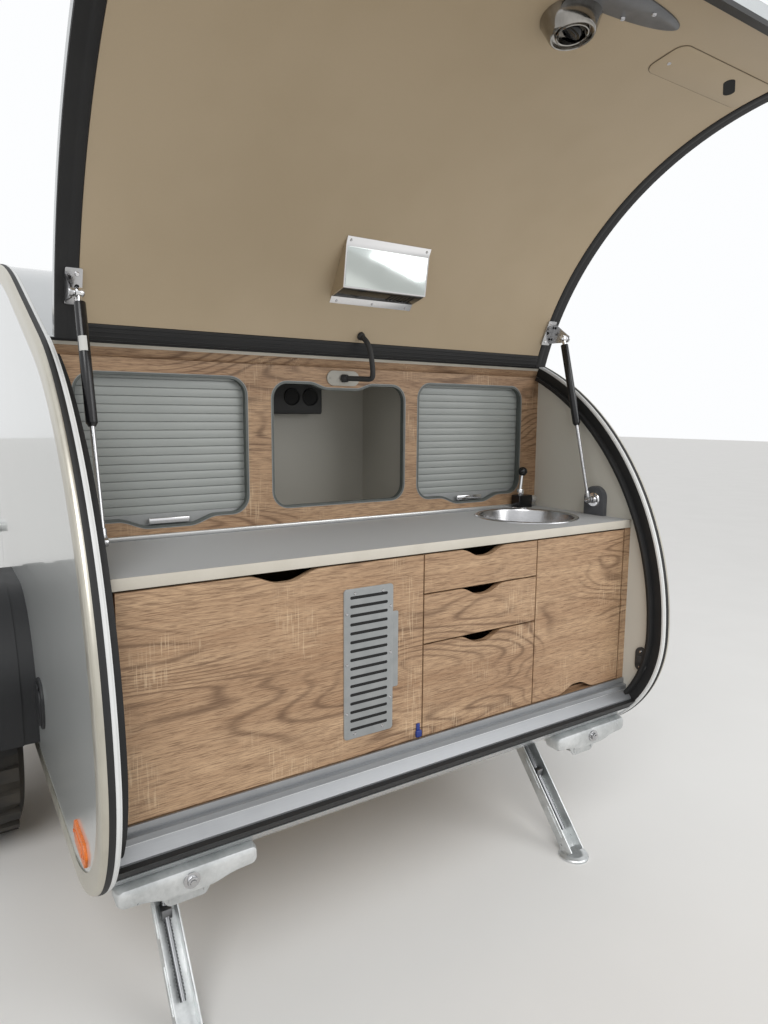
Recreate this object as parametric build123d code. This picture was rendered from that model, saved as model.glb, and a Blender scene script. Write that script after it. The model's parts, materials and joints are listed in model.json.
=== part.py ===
"""Teardrop trailer with an open rear galley, in millimetres.

X runs forward to the coupling, Y to the trailer's left and Z up from the ground.
The origin is on the ground, midway between the open hatch's edge and the coupling's nose.
"""
from build123d import *
import math
import os

os.makedirs("parts", exist_ok=True)

# Body: side outline, walls and skins
BOTTOM = 345.0
HALF_WIDTH = 760.0
WALL = 30.0
INNER = HALF_WIDTH - WALL
SKIN = 30.0
APRON_SKIN = 24.0
REAR_CORNER_X = -1344.5
# Side outline from the rear bottom corner up and over to the nose: radius and turn in degrees,
# or 0 and the length of a straight run
OUTLINE = (
    (355.0, 90.0),
    (840.0, 67.4),
    (0.0, 450.0),
    (1600.0, 22.6),
    (1932.0, 35.0),
    (759.0, 55.0),
)
FLOOR = 40.0
NOSE_FLOOR_X = 825.0
TRIM_WIDE = 42.0
TRIM_EDGE = 21.0
TRIM_THICK = 3.0
FAR = 3000.0

# Hatch: hinge line on the outer skin, thickness and opening
HINGE_X = -1190.0
HINGE_Z = 1472.5
HATCH = 28.0
LINING = 6.0
HATCH_OPEN = 96.5
HATCH_HALF = 724.0
HATCH_BORDER = 46.0
HATCH_HEAD = 41.0
HATCH_TIP_Z = 504.0
GAP = 6.0
SEAL_INSET = 30.0
SEAL_THICK = 11.0
SEAL_WIDE = 18.0

# Galley: planes of the fronts and of the panel behind the worktop
FRONT_X = -1573.0
PANEL_X = -1184.0
BOARD = 16.0
WORKTOP_Z = 1018.0
WORKTOP = 22.0
UNDER_TOP = WORKTOP_Z - WORKTOP
PLINTH_Z = 541.0
CARCASS_Z = 528.0
FRONT_EDGE = 700.0
PANEL_TOP = 1438.0
# Fronts: name, left edge, right edge, low edge, high edge, middle of the finger notch
FRONTS = (
    ("drawer_wide", FRONT_EDGE, 14.0, 545.0, 991.0, 366.0),
    ("drawer_top", 10.0, -353.0, 898.5, 991.0, -171.5),
    ("drawer_middle", 10.0, -353.0, 776.5, 894.5, -171.5),
    ("drawer_bottom", 10.0, -353.0, 545.0, 772.5, -171.5),
    ("flap_right", -357.0, -FRONT_EDGE, 545.0, 991.0, -529.5),
)
DRAWER_DEPTH = 340.0
DRAWER_WALL = 12.0
DRAWER_SIDE_GAP = 16.0
NOTCH_HALF = 61.0
WIDE_NOTCH_HALF = 72.0
NOTCH_FLOOR = 20.0
NOTCH_DEEP = 21.0
# Openings in the panel: name, middle, half width, low edge, high edge
PANEL_OPENINGS = (
    ("left", 487.0, 203.0, 1063.0, 1405.0),
    ("middle", 10.0, 208.0, 1069.0, 1398.0),
    ("right", -449.5, 206.5, 1065.0, 1407.0),
)
OPENING_RADIUS = 45.0
OPENING_DIP = 20.0
CUPBOARD_DEPTH = 250.0
SLATS = 17

# Vent plate on the wide drawer's front
GRILLE_Y = 164.5
GRILLE_HALF = 64.5
GRILLE_LOW = 590.0
GRILLE_HIGH = 936.0
GRILLE_SLOTS = 16

# Sink and tap on the worktop
SINK_X = -1365.0
SINK_Y = -517.0
SINK_RIM = 152.0
SINK_BOWL = 138.0
SINK_DEEP = 115.0
TAP_X = -1212.0
TAP_Y = -634.0

# Gas struts: planes and ball centres with the hatch open
STRUT_Y = 690.0
STRUT_TOP = (-1322.0, 1550.0)
STRUT_LOW = (-1448.0, 1065.0)
TUBE_LENGTH = 272.0
TUBE_RADIUS = 11.0
TUBE_BORE = 190.0
ROD_RADIUS = 5.0
STUD_RADIUS = 4.0

# Conduit from the open hatch's lining, past the hinge, to the plate on the panel
CONDUIT_RADIUS = 7.0
GLAND_RADIUS = 11.0
GLAND_LONG = 20.0
CONDUIT = (
    (-1239.6, -17.0, 1518.6),
    (-1264.0, -20.0, 1505.0),
    (-1273.0, -27.0, 1462.0),
    (-1264.0, -38.0, 1406.0),
    (-1220.0, -9.0, 1409.6),
    (-1196.0, 6.2, 1410.7),
)

# Wheels, axle and fenders
AXLE_X = -410.0
TYRE_RADIUS = 345.0
TYRE_WIDE = 195.0
TYRE_INNER_Y = 793.0
RIM_RADIUS = 190.0
LUGS = 26
LUG_DEEP = 9.0
DISC_Y = TYRE_INNER_Y + 122.0
AXLE_TUBE_X = -250.0
AXLE_TUBE_Z = 265.0
AXLE_TUBE_HALF = 40.0
ARM_Y = 766.0
ARM_THICK = 20.0
FENDER_HALF = 400.0
FENDER_RADIUS = 290.0
FENDER_TOP = 805.0
FENDER_LOW = 410.0
FENDER_OUT = 1002.0
FENDER_SKIN = 6.0

# Chassis and drawbar
RAIL_Y = 450.0
RAIL_WIDE = 50.0
RAIL_HIGH = 80.0
RAIL_REAR_X = -1230.0
DRAWBAR_START_X = 300.0
DRAWBAR_END_X = 1930.0
DRAWBAR_TIP_Y = 32.0
COUPLING_X = 2063.15
COUPLING_RADIUS = 42.0
BALL_Z = 420.0
BALL_BORE = 25.1
JOCKEY_X = 1760.0
JOCKEY_Y = 232.0
JOCKEY_TUBE = 24.0
JOCKEY_STEM = 17.0
JOCKEY_WHEEL = 85.0
JOCKEY_TRAIL = 32.0
CLAMP_Z = 335.0
CLAMP_HIGH = 50.0

# Rear steadies: plane, pivot and foot of the leg, and the pressed bar
STEADY_Y = 585.0
STEADY_PIVOT = (-1285.0, 310.0)
STEADY_FOOT = (-1545.0, 10.0)
LEG_WIDE = 52.0
LEG_DEEP = 38.0
PRESSED = 3.0
HOUSING_X = -1570.0
HOUSING_Z = 385.0
HOUSING_HALF = 142.0

# Side doors and roof vent
DOOR_X = 370.0
DOOR_Z = 935.0
DOOR_WIDE = 640.0
DOOR_HIGH = 1030.0
DOOR_RADIUS = 110.0
WINDOW_Z = 1190.0
WINDOW_RADIUS = 180.0
VENT_X = 330.0
VENT_Z = 1710.0
VENT_SLOPE = 14.4
VENT_HALF = 200.0


def turn_right(point, heading, radius, turn):
    """Middle and end point of an arc that turns right from a heading."""
    side = math.radians(heading - 90)
    centre = point + Vector(math.cos(side), 0, math.sin(side)) * radius
    found = []
    for share in (0.5, 1.0):
        angle = math.radians(heading + 90 - turn * share)
        found.append(centre + Vector(math.cos(angle), 0, math.sin(angle)) * radius)
    return found


def side_face(inset):
    """Face of the side outline in the XZ plane, moved inward by inset."""
    heading = 180.0
    start = Vector(REAR_CORNER_X, 0, BOTTOM + inset)
    point = start
    edges = []
    for radius, turn in OUTLINE:
        if radius == 0:
            end = point + Vector(math.cos(math.radians(heading)), 0, math.sin(math.radians(heading))) * turn
            edges.append(Line(point, end))
            point = end
            continue
        middle, end = turn_right(point, heading, radius - inset, turn)
        edges.append(ThreePointArc(point, middle, end))
        point = end
        heading -= turn
    middle, end = turn_right(point, heading, point.Z - BOTTOM - inset, 90.0)
    edges.append(ThreePointArc(point, middle, end))
    edges.append(Line(end, start))
    return Face(Wire(edges))


def across(face, low, high):
    """Solid between two Y planes from a face that lies in the XZ plane."""
    return extrude(Pos(0, low, 0) * face, amount=high - low, dir=(0, 1, 0))


def ring(outer, inner, low, high):
    """Band along the side outline, between two insets and two Y planes."""
    return across(side_face(outer), low, high) - across(side_face(inner), low - 1, high + 1)


def block(low, high):
    """Box from its low corner to its high corner."""
    size = [b - a for a, b in zip(low, high)]
    middle = [(a + b) / 2 for a, b in zip(low, high)]
    return Pos(*middle) * Box(*size)


def rod(start, end, radius):
    """Round bar between two points."""
    start = Vector(*start)
    line = Vector(*end) - start
    return extrude(Plane(origin=start, z_dir=line) * Circle(radius), amount=line.length)


def xz_face(sketch, x, z):
    """Flat sketch set upright in the XZ plane at a place."""
    return Plane.XZ * Pos(x, z) * sketch


def polygon_xz(points):
    """Face in the XZ plane from corner points."""
    return Face(Wire.make_polygon([(x, 0, z) for x, z in points], close=True))


def plate_xy(points, low, high):
    """Level plate from corner points, between two heights."""
    face = Face(Wire.make_polygon([(x, y, low) for x, y in points], close=True))
    return extrude(face, amount=high - low, dir=(0, 0, 1))


def yz_panel(x, thick, middle, half, low, high, radius):
    """Rounded upright board facing the rear, from x forward."""
    plane = Plane(origin=(x, middle, (low + high) / 2), x_dir=(0, 1, 0), z_dir=(1, 0, 0))
    return extrude(plane * RectangleRounded(2 * half, high - low, radius), amount=thick)


def both_sides(shape):
    """A left piece and its mirror image on the right."""
    return [shape, mirror(shape, about=Plane.XZ)]


def together(shapes):
    """Separate solids of one node."""
    solids = []
    for shape in shapes:
        solids.extend(shape.solids())
    return Compound(children=solids) if len(solids) > 1 else solids[0]


def opened(shape):
    """Piece of the closed hatch, turned up to its open place."""
    return shape.rotate(Axis((HINGE_X, 0, HINGE_Z), (0, 1, 0)), HATCH_OPEN)


# Body

def door_sketch(grow):
    """Side door's outline, grown on every side."""
    return RectangleRounded(DOOR_WIDE + 2 * grow, DOOR_HIGH + 2 * grow, DOOR_RADIUS + grow)


def make_wall():
    """Left side wall with its door opening."""
    wall = across(side_face(0), INNER, HALF_WIDTH)
    return wall - across(xz_face(door_sketch(GAP), DOOR_X, DOOR_Z), INNER - 1, HALF_WIDTH + 1)


def at_vent(shape):
    """Piece of the roof vent, set on the roof's slope."""
    return Pos(VENT_X, 0, VENT_Z) * Rot(0, VENT_SLOPE, 0) * shape


def make_skin():
    """Skin from the hinge over the crest and down the nose, and the apron under the sill."""
    roof = ring(0, SKIN, -INNER, INNER) - past_hinge(-GAP)
    roof -= block((-FAR, -HALF_WIDTH, 0), (NOSE_FLOOR_X, HALF_WIDTH, BOTTOM + FLOOR + 10))
    roof -= at_vent(Box(2 * VENT_HALF, 2 * VENT_HALF, 200))
    apron = ring(0, APRON_SKIN, -INNER, INNER)
    apron &= block((-FAR, -INNER, 0), (REAR_CORNER_X, INNER, CARCASS_Z - 68))
    return together([roof, apron])


def make_floor():
    """Floor deck between the walls."""
    return block((REAR_CORNER_X, -INNER, BOTTOM), (NOSE_FLOOR_X, INNER, BOTTOM + FLOOR))


def make_sill():
    """Stepped aluminium sill between the fronts and the hatch's tip."""
    points = (
        (FRONT_X + 10, CARCASS_Z),
        (FRONT_X - 15, CARCASS_Z - 4),
        (FRONT_X - 15, CARCASS_Z - 16),
        (FRONT_X - 25, CARCASS_Z - 26),
        (FRONT_X - 36, CARCASS_Z - 38),
        (FRONT_X - 36, CARCASS_Z - 42),
        (FRONT_X - 17, CARCASS_Z - 42),
        (FRONT_X - 17, CARCASS_Z - 68),
        (FRONT_X + 10, CARCASS_Z - 68),
    )
    return across(polygon_xz(points), -INNER, INNER)


def make_seals():
    """Black seals round the rear opening: up both walls and along the sill."""
    side = ring(SEAL_INSET, SEAL_INSET + SEAL_THICK, INNER - SEAL_WIDE, INNER) & past_hinge(14)
    side &= block((-FAR, 0, CARCASS_Z - 20), (PANEL_X, HALF_WIDTH, FAR))
    side -= block((FRONT_X - 20, 0, 0), (FAR, HALF_WIDTH, WORKTOP_Z + 2))
    low = ring(2, 22, -INNER, INNER)
    low &= block((-FAR, -INNER, CARCASS_Z - 68), (FRONT_X - 17, INNER, CARCASS_Z - 42.3))
    return together(both_sides(side) + [low])


def make_trim():
    """Aluminium edge profile round each wall, and the hinge rail on the roof's rear edge."""
    band = across(side_face(-TRIM_THICK), HALF_WIDTH - TRIM_EDGE, HALF_WIDTH + TRIM_THICK)
    band -= across(side_face(0), -HALF_WIDTH, HALF_WIDTH)
    band -= across(side_face(TRIM_WIDE), HALF_WIDTH - 1, HALF_WIDTH + WALL)
    rail = (ring(1, SKIN + 8, -INNER, INNER) & past_hinge(-GAP)) - past_hinge(2 - GAP)
    return together(both_sides(band) + [rail & block((-FAR, -INNER, PANEL_TOP), (FAR, INNER, FAR))])


# Hatch, drawn closed and then turned open

def hatch_plane(distance, y, inset=HATCH):
    """Plane on the closed hatch, at an arc length from the hinge measured on its inner face.

    Its normal points into the galley, its x runs along Y and its y towards the hinge.
    """
    low_radius = OUTLINE[0][0]
    high_radius = OUTLINE[1][0]
    level = BOTTOM + low_radius
    middle_x = REAR_CORNER_X - low_radius + high_radius
    start = math.atan2(HINGE_Z - level, HINGE_X - middle_x)
    angle = start + distance / (high_radius - HATCH)
    radius = high_radius
    if angle > math.pi:
        past = (angle - math.pi) * (high_radius - HATCH)
        radius = low_radius
        middle_x = REAR_CORNER_X
        angle = math.pi + past / (low_radius - HATCH)
    outward = Vector(math.cos(angle), 0, math.sin(angle))
    point = Vector(middle_x, y, level) + outward * (radius - inset)
    return Plane(origin=point, x_dir=(0, 1, 0), z_dir=outward * -1)


def past_hinge(distance):
    """Everything on the hatch's side of a cut square to the skin, at a distance from the hinge."""
    return hatch_plane(distance, 0) * Pos(0, -FAR / 2, 0) * Box(2 * FAR, FAR, 2 * FAR)


def hatch_ring(outer, inner):
    """Curved band of the closed hatch between two insets."""
    band = ring(outer, inner, -HATCH_HALF, HATCH_HALF) & past_hinge(GAP)
    return band & block((-FAR, -HALF_WIDTH, HATCH_TIP_Z), (FAR, HALF_WIDTH, FAR))


def lining_field():
    """Space inside the black border, which the lining fills."""
    half = HATCH_HALF - HATCH_BORDER
    field = across(side_face(0), -half, half) & past_hinge(HATCH_HEAD)
    return field & block((-FAR, -half, HATCH_TIP_Z + 36), (FAR, half, FAR))


def make_hatch_shell():
    """Hatch skin with its lining inside the border."""
    skin = hatch_ring(0, HATCH - LINING)
    return opened(skin + (hatch_ring(HATCH - LINING, HATCH) & lining_field()))


def make_hatch_border():
    """Black frame on the hatch's inner face."""
    return opened(hatch_ring(HATCH - LINING, HATCH) - lining_field())


def on_lining(sketch, distance, y, thick):
    """Thin curved piece lying on the hatch's inner face."""
    cutter = extrude(hatch_plane(distance, y) * sketch, amount=40, both=True)
    return ring(HATCH, HATCH + thick, -HATCH_HALF, HATCH_HALF) & cutter


def standing(shape):
    """A piece on the closed hatch, with what would sink into the lining cut away."""
    return shape - ring(-40, HATCH, -HATCH_HALF, HATCH_HALF)


def make_light_box():
    """Polished box with a slanting mirror face, near the hinge."""
    plane = hatch_plane(221, -29)
    section = Plane(origin=plane.origin, x_dir=plane.y_dir, z_dir=plane.x_dir)
    points = ((-87, -6), (87, -6), (87, 4), (73, 6), (31, 51), (-68, 10), (-87, 8))
    return opened(standing(extrude(section * Polygon(*points, align=None), amount=123, both=True)))


def make_downlight():
    """Round lamp: a tapered case with a stepped recess."""
    base = hatch_plane(922, -76)
    case = extrude(base.offset(-3) * Circle(58), amount=40, taper=15)
    for radius, deep in ((43, 9), (38, 17), (33, 25)):
        case -= extrude(base.offset(38) * Circle(radius), amount=-deep - 1)
    return opened(standing(case))


def make_hatch_plates():
    """Lock plate at the hatch's tip, the rounded cover beside it and the conduit's grommet."""
    lock = on_lining(Ellipse(280, 45), 1000, 0, 3)
    lock -= extrude(hatch_plane(922, -76) * Circle(59), amount=40, both=True)
    cover = on_lining(RectangleRounded(332, 93, 22), 929.5, -506, 2) - extrude(
        hatch_plane(1000, 0) * Ellipse(286, 51), amount=40, both=True)
    grommet = gland(CONDUIT[0], CONDUIT[1]) - opened(ring(-40, HATCH, -HATCH_HALF, HATCH_HALF))
    return together([opened(lock), opened(cover), grommet])


def make_hatch_lamps():
    """Round rear lamps on the hatch's outer skin."""
    lamps = []
    for y in (610, 490, -490, -610):
        disc = extrude(hatch_plane(1020, y, 0) * Circle(48), amount=60, both=True)
        lamps.append(opened(ring(-12, 0, -HATCH_HALF, HATCH_HALF) & disc))
    return together(lamps)


def closed_strut_top():
    """Strut's upper ball with the hatch closed."""
    point = Pos(STRUT_TOP[0], 0, STRUT_TOP[1]) * Sphere(1)
    return point.rotate(Axis((HINGE_X, 0, HINGE_Z), (0, 1, 0)), -HATCH_OPEN).center()


def make_hatch_bracket():
    """Plate on the hatch's border with an arm and the stud of the left strut."""
    top = closed_strut_top()
    inner_y = STRUT_Y + 13
    outer_y = STRUT_Y + 17
    base = hatch_plane(116, STRUT_Y - 2)
    plate = on_lining(Rectangle(36, 78), 116, STRUT_Y - 2, 3)
    root = [base.origin + base.y_dir * reach - base.z_dir * 3 for reach in (36, -36)]
    corners = [(p.X, p.Z) for p in root]
    corners += [(top.X - 6, top.Z - 8), (top.X + 10, top.Z - 4)]
    arm = across(polygon_xz(corners), inner_y, outer_y)
    boss = rod((top.X, inner_y, top.Z), (top.X, outer_y, top.Z), 11)
    stud = rod((top.X, STRUT_Y - 8, top.Z), (top.X, inner_y + 1, top.Z), STUD_RADIUS)
    return opened(standing(plate + arm + boss + stud))


def make_wall_bracket():
    """D shaped cover on the worktop with the ball socket of the left strut's foot."""
    x, z = STRUT_LOW
    half = 41.0
    crown = z + 36 - half
    cover = block((x - half, INNER - 18, WORKTOP_Z), (x + half, INNER, crown))
    cover += rod((x, INNER - 18, crown), (x, INNER, crown), half)
    return cover + rod((x, STRUT_Y + 14, z), (x, INNER - 17, z), 12)


def strut_point(distance):
    """Point on the left strut's line, from its upper ball down."""
    line = Vector(STRUT_LOW[0] - STRUT_TOP[0], 0, STRUT_LOW[1] - STRUT_TOP[1]).normalized()
    return tuple(Vector(STRUT_TOP[0], STRUT_Y, STRUT_TOP[1]) + line * distance)


def make_strut_tube():
    """Left gas strut's cylinder with its upper eye."""
    x, z = STRUT_TOP
    eye = rod((x, STRUT_Y - 7, z), (x, STRUT_Y + 7, z), 10)
    neck = rod(strut_point(6), strut_point(24), 5)
    body = rod(strut_point(22), strut_point(TUBE_LENGTH), TUBE_RADIUS)
    bore = rod(strut_point(TUBE_LENGTH - TUBE_BORE), strut_point(TUBE_LENGTH + 1), ROD_RADIUS + 0.5)
    hole = rod((x, STRUT_Y - 20, z), (x, STRUT_Y + 20, z), STUD_RADIUS + 0.2)
    return eye + neck + body - bore - hole


def make_strut_rod():
    """Left gas strut's rod with its lower cap."""
    x, z = STRUT_LOW
    bar = rod(strut_point(TUBE_LENGTH - 10), (x, STRUT_Y, z), ROD_RADIUS)
    return bar + rod((x, STRUT_Y - 8, z), (x, STRUT_Y + 8, z), 9)


# Galley

def finger_notch(middle, edge, up, half):
    """Cutter for a long, softly sloped finger notch in a front's upper (1) or lower (-1) edge."""
    points = (
        (-half - 40, 0),
        (-half, 0),
        (-NOTCH_FLOOR, -NOTCH_DEEP),
        (NOTCH_FLOOR, -NOTCH_DEEP),
        (half, 0),
        (half + 40, 0),
        (half + 40, 8),
        (-half - 40, 8),
    )
    shape = Polygon(*points, align=None)
    corners = [v for v in shape.vertices() if v.Y < 1 and abs(v.X) < half + 1]
    plane = Plane(origin=(FRONT_X - 5, middle, edge), x_dir=(0, up, 0), z_dir=(1, 0, 0))
    return extrude(plane * fillet(corners, 60), amount=BOARD + 10, dir=(1, 0, 0))


def make_front(left, right, low, high, notch, up):
    """Front board with its finger notch."""
    board = block((FRONT_X, right, low), (FRONT_X + BOARD, left, high))
    half = WIDE_NOTCH_HALF if left - right > FRONT_EDGE / 2 + 50 else NOTCH_HALF
    return board - finger_notch(notch, high if up > 0 else low, up, half)


def make_drawer(left, right, low, high, notch):
    """Hollow drawer: front board, floor, two sides and back."""
    x0 = FRONT_X + BOARD
    x1 = x0 + DRAWER_DEPTH
    y0 = right + DRAWER_SIDE_GAP
    y1 = left - DRAWER_SIDE_GAP
    z0 = low + 14
    z1 = high - 30
    wall = DRAWER_WALL
    tray = block((x0, y0, z0), (x1, y1, z1))
    tray -= block((x0, y0 + wall, z0 + wall), (x1 - wall, y1 - wall, z1 + 1))
    return make_front(left, right, low, high, notch, 1) + tray


def make_lower_cabinet():
    """Carcass under the worktop, its dividers, and the bulkhead down to the floor."""
    x0 = FRONT_X + BOARD + GAP
    x1 = PANEL_X + BOARD
    case = block((x0, -INNER, CARCASS_Z), (x1, INNER, UNDER_TOP))
    low_row = PLINTH_Z + GAP
    # Bays: left, right, low, high
    bays = (
        (708, 20, low_row, UNDER_TOP + 1),
        (2, -345, 902, UNDER_TOP + 1),
        (2, -345, 780, 890),
        (2, -345, low_row, 768),
        (-363, -708, low_row, UNDER_TOP + 1),
    )
    for left, right, low, high in bays:
        case -= block((x0 - 1, right, low), (x1 - BOARD, left, high))
    case += block((FRONT_X, -INNER, CARCASS_Z), (x0, INNER, PLINTH_Z))
    for low, high in ((-INNER, -FRONT_EDGE - GAP), (FRONT_EDGE + GAP, INNER)):
        case += block((FRONT_X, low, CARCASS_Z), (x0, high, UNDER_TOP))
    return case + block((PANEL_X, -INNER, BOTTOM + FLOOR), (x1, INNER, CARCASS_Z))


def make_worktop():
    """Worktop board with the sink's cut-out."""
    board = block((FRONT_X, -INNER, UNDER_TOP), (PANEL_X + BOARD, INNER, WORKTOP_Z))
    return board - rod((SINK_X, SINK_Y, 900), (SINK_X, SINK_Y, 1100), SINK_BOWL + 1)


def make_sink():
    """Round steel bowl with a rim on the worktop."""
    low = WORKTOP_Z - SINK_DEEP
    rim = rod((SINK_X, SINK_Y, WORKTOP_Z), (SINK_X, SINK_Y, WORKTOP_Z + 3), SINK_RIM)
    bowl = rod((SINK_X, SINK_Y, low), (SINK_X, SINK_Y, WORKTOP_Z + 3), SINK_BOWL)
    bowl = fillet(bowl.edges().group_by(Axis.Z)[0], 40)
    room = rod((SINK_X, SINK_Y, low + 2), (SINK_X, SINK_Y, WORKTOP_Z + 4), SINK_BOWL - 2)
    room = fillet(room.edges().group_by(Axis.Z)[0], 38)
    return rim + bowl - room


def make_tap():
    """Folded tap: square body, upright stem with a ball end, and a side lever."""
    body = block((TAP_X - 19, TAP_Y - 29, WORKTOP_Z), (TAP_X + 19, TAP_Y + 29, WORKTOP_Z + 42))
    body = fillet(body.edges().filter_by(Axis.Z), 4)
    body += rod((TAP_X, TAP_Y + 8, WORKTOP_Z + 41), (TAP_X, TAP_Y + 8, WORKTOP_Z + 62), 11)
    body += rod((TAP_X, TAP_Y + 8, WORKTOP_Z + 61), (TAP_X, TAP_Y + 2, WORKTOP_Z + 108), 5)
    body += Pos(TAP_X, TAP_Y, WORKTOP_Z + 118) * Sphere(15)
    return body + rod((TAP_X, TAP_Y - 28, WORKTOP_Z + 27), (TAP_X, TAP_Y - 60, WORKTOP_Z + 27), 12)


def opening_dip(middle, edge, half, floor, deep):
    """Shallow dip on the panel's plane, hanging down from an edge on two S curves of tangent arcs."""
    run = (half - floor) / 2
    drop = deep / 2
    radius = (run**2 + drop**2) / (2 * drop)
    turn = math.asin(run / radius) / 2
    across_arc = radius * math.sin(turn)
    down_arc = radius * (1 - math.cos(turn))
    bend = half - run
    edges = [
        ThreePointArc((-half, 0), (-half + across_arc, -down_arc), (-bend, -drop)),
        ThreePointArc((-bend, -drop), (-floor - across_arc, down_arc - deep), (-floor, -deep)),
        Line((-floor, -deep), (floor, -deep)),
        ThreePointArc((floor, -deep), (floor + across_arc, down_arc - deep), (bend, -drop)),
        ThreePointArc((bend, -drop), (half - across_arc, -down_arc), (half, 0)),
        Line((half, 0), (half, 2)),
        Line((half, 2), (-half, 2)),
        Line((-half, 2), (-half, 0)),
    ]
    plane = Plane(origin=(PANEL_X, middle, edge), x_dir=(0, 1, 0), z_dir=(1, 0, 0))
    return extrude(plane * make_face(edges), amount=BOARD, dir=(1, 0, 0))


def make_back_panel():
    """Board behind the worktop with three rounded openings, two with finger dips."""
    panel = block((PANEL_X, -INNER, WORKTOP_Z), (PANEL_X + BOARD, INNER, PANEL_TOP))
    for name, middle, half, low, high in PANEL_OPENINGS:
        panel -= yz_panel(PANEL_X - 1, BOARD + 2, middle, half, low, high, OPENING_RADIUS)
        if name == "middle":
            panel += opening_dip(middle, high, 100, 42, 14)
        else:
            panel -= opening_dip(middle, low, 122, 48, OPENING_DIP)
    return panel


def make_upper_cabinet():
    """Three compartments behind the panel."""
    x0 = PANEL_X + BOARD
    x1 = x0 + CUPBOARD_DEPTH
    case = block((x0, -INNER, UNDER_TOP), (x1, INNER, PANEL_TOP))
    for name, middle, half, low, high in PANEL_OPENINGS:
        y0 = middle - half - 12
        y1 = middle + half + 12
        case -= block((x0 - 1, y0, low - 2 * OPENING_DIP), (x1 - 12, y1, high + 12))
    return case


def make_shutters():
    """Roller shutters of horizontal slats behind the left and right openings, with bar handles."""
    shutters = []
    x = PANEL_X + BOARD
    for name, middle, half, low, high in PANEL_OPENINGS:
        if name == "middle":
            continue
        bottom = low - OPENING_DIP - 10
        pitch = (high + 8 - bottom) / SLATS
        y0 = middle - half - 9
        y1 = middle + half + 9
        shutter = block((x + 2, y0, bottom), (x + 7, y1, high + 8))
        for index in range(SLATS):
            z = bottom + pitch * (index + 0.5)
            shutter += block((x + 0.5, y0, z - pitch / 2 + 1.6), (x + 2, y1, z + pitch / 2 - 1.6))
        shutter += block((PANEL_X + 2, middle - 50, low - 12), (x + 3, middle + 50, low + 2))
        shutters.append(shutter)
    return together(shutters)


def make_grille():
    """Vent plate with its slots and a side tab, on the wide drawer's front."""
    plate = yz_panel(FRONT_X - 3, 3, GRILLE_Y, GRILLE_HALF, GRILLE_LOW, GRILLE_HIGH, 8)
    plate += yz_panel(FRONT_X - 3, 3, GRILLE_Y - GRILLE_HALF - 8, 14, 690, 870, 6)
    pitch = (GRILLE_HIGH - GRILLE_LOW - 44) / GRILLE_SLOTS
    for index in range(GRILLE_SLOTS):
        z = GRILLE_LOW + 22 + pitch * (index + 0.5)
        plate -= block((FRONT_X - 4, GRILLE_Y - 48, z - 4.5), (FRONT_X - 1.5, GRILLE_Y + 48, z + 4.5))
    return plate


def make_conduit():
    """Bent tube: straight runs joined by tangent arcs."""
    points = [Vector(*p) for p in CONDUIT]
    edges = []
    last = points[0]
    for before, here, after in zip(points, points[1:], points[2:]):
        into = (here - before).normalized()
        out = (after - here).normalized()
        half_turn = math.radians(into.get_angle(out)) / 2
        reach = 0.45 * min((here - before).length, (after - here).length)
        bend = reach / math.tan(half_turn)
        print("conduit bend radius", round(bend, 1))
        inward = (out - into).normalized()
        middle = here + inward * (math.hypot(reach, bend) - bend)
        edges.append(Line(last, here - into * reach))
        edges.append(ThreePointArc(here - into * reach, middle, here + out * reach))
        last = here + out * reach
    edges.append(Line(last, points[-1]))
    path = Wire(edges)
    tube = sweep(Plane(origin=path @ 0, z_dir=path % 0) * Circle(CONDUIT_RADIUS), path=path)
    print("conduit volume over section times length", tube.volume / (math.pi * CONDUIT_RADIUS**2 * path.length))
    return tube


def gland(end, before):
    """Round gland whose face meets the conduit's end square on."""
    end = Vector(*end)
    way = (end - Vector(*before)).normalized()
    return rod(tuple(end), tuple(end + way * GLAND_LONG), GLAND_RADIUS)


def make_conduit_plate():
    """Light oval plate with the gland where the conduit enters the panel."""
    plane = Plane(origin=(PANEL_X, 8, 1411), x_dir=(0, 1, 0), z_dir=(-1, 0, 0))
    plate = extrude(plane * SlotOverall(100, 40), amount=4)
    return plate + (gland(CONDUIT[-1], CONDUIT[-2]) & block((-FAR, -50, 0), (PANEL_X, 50, FAR)))


# Running gear

def make_tyre():
    """Left tyre: rounded carcass and two staggered rows of tread lugs."""
    y0 = TYRE_INNER_Y
    y1 = TYRE_INNER_Y + TYRE_WIDE
    middle = (y0 + y1) / 2
    crown = TYRE_RADIUS - LUG_DEEP
    bead = RIM_RADIUS + 4
    bulge = (bead + crown) / 2
    edges = [
        Line((0, y0 + 22, bead), (0, y1 - 22, bead)),
        ThreePointArc((0, y1 - 22, bead), (0, y1, bulge), (0, y1 - 18, crown - 12)),
        ThreePointArc((0, y1 - 18, crown - 12), (0, middle, crown), (0, y0 + 18, crown - 12)),
        ThreePointArc((0, y0 + 18, crown - 12), (0, y0, bulge), (0, y0 + 22, bead)),
    ]
    body = revolve(Face(Wire(edges)), Axis((0, 0, 0), (0, 1, 0)), 360)
    face = rod((0, y0, 0), (0, y1, 0), TYRE_RADIUS)
    lugs = []
    for low, high, share in ((y0 + 20, middle - 7, 0.0), (middle + 7, y1 - 20, 0.5)):
        lug = block((-21, low, crown - 16), (21, high, TYRE_RADIUS + 2)) & face
        lugs += [lug.rotate(Axis.Y, 360.0 * (index + share) / LUGS) for index in range(LUGS)]
    return Pos(AXLE_X, 0, TYRE_RADIUS) * body.fuse(*lugs)


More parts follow.
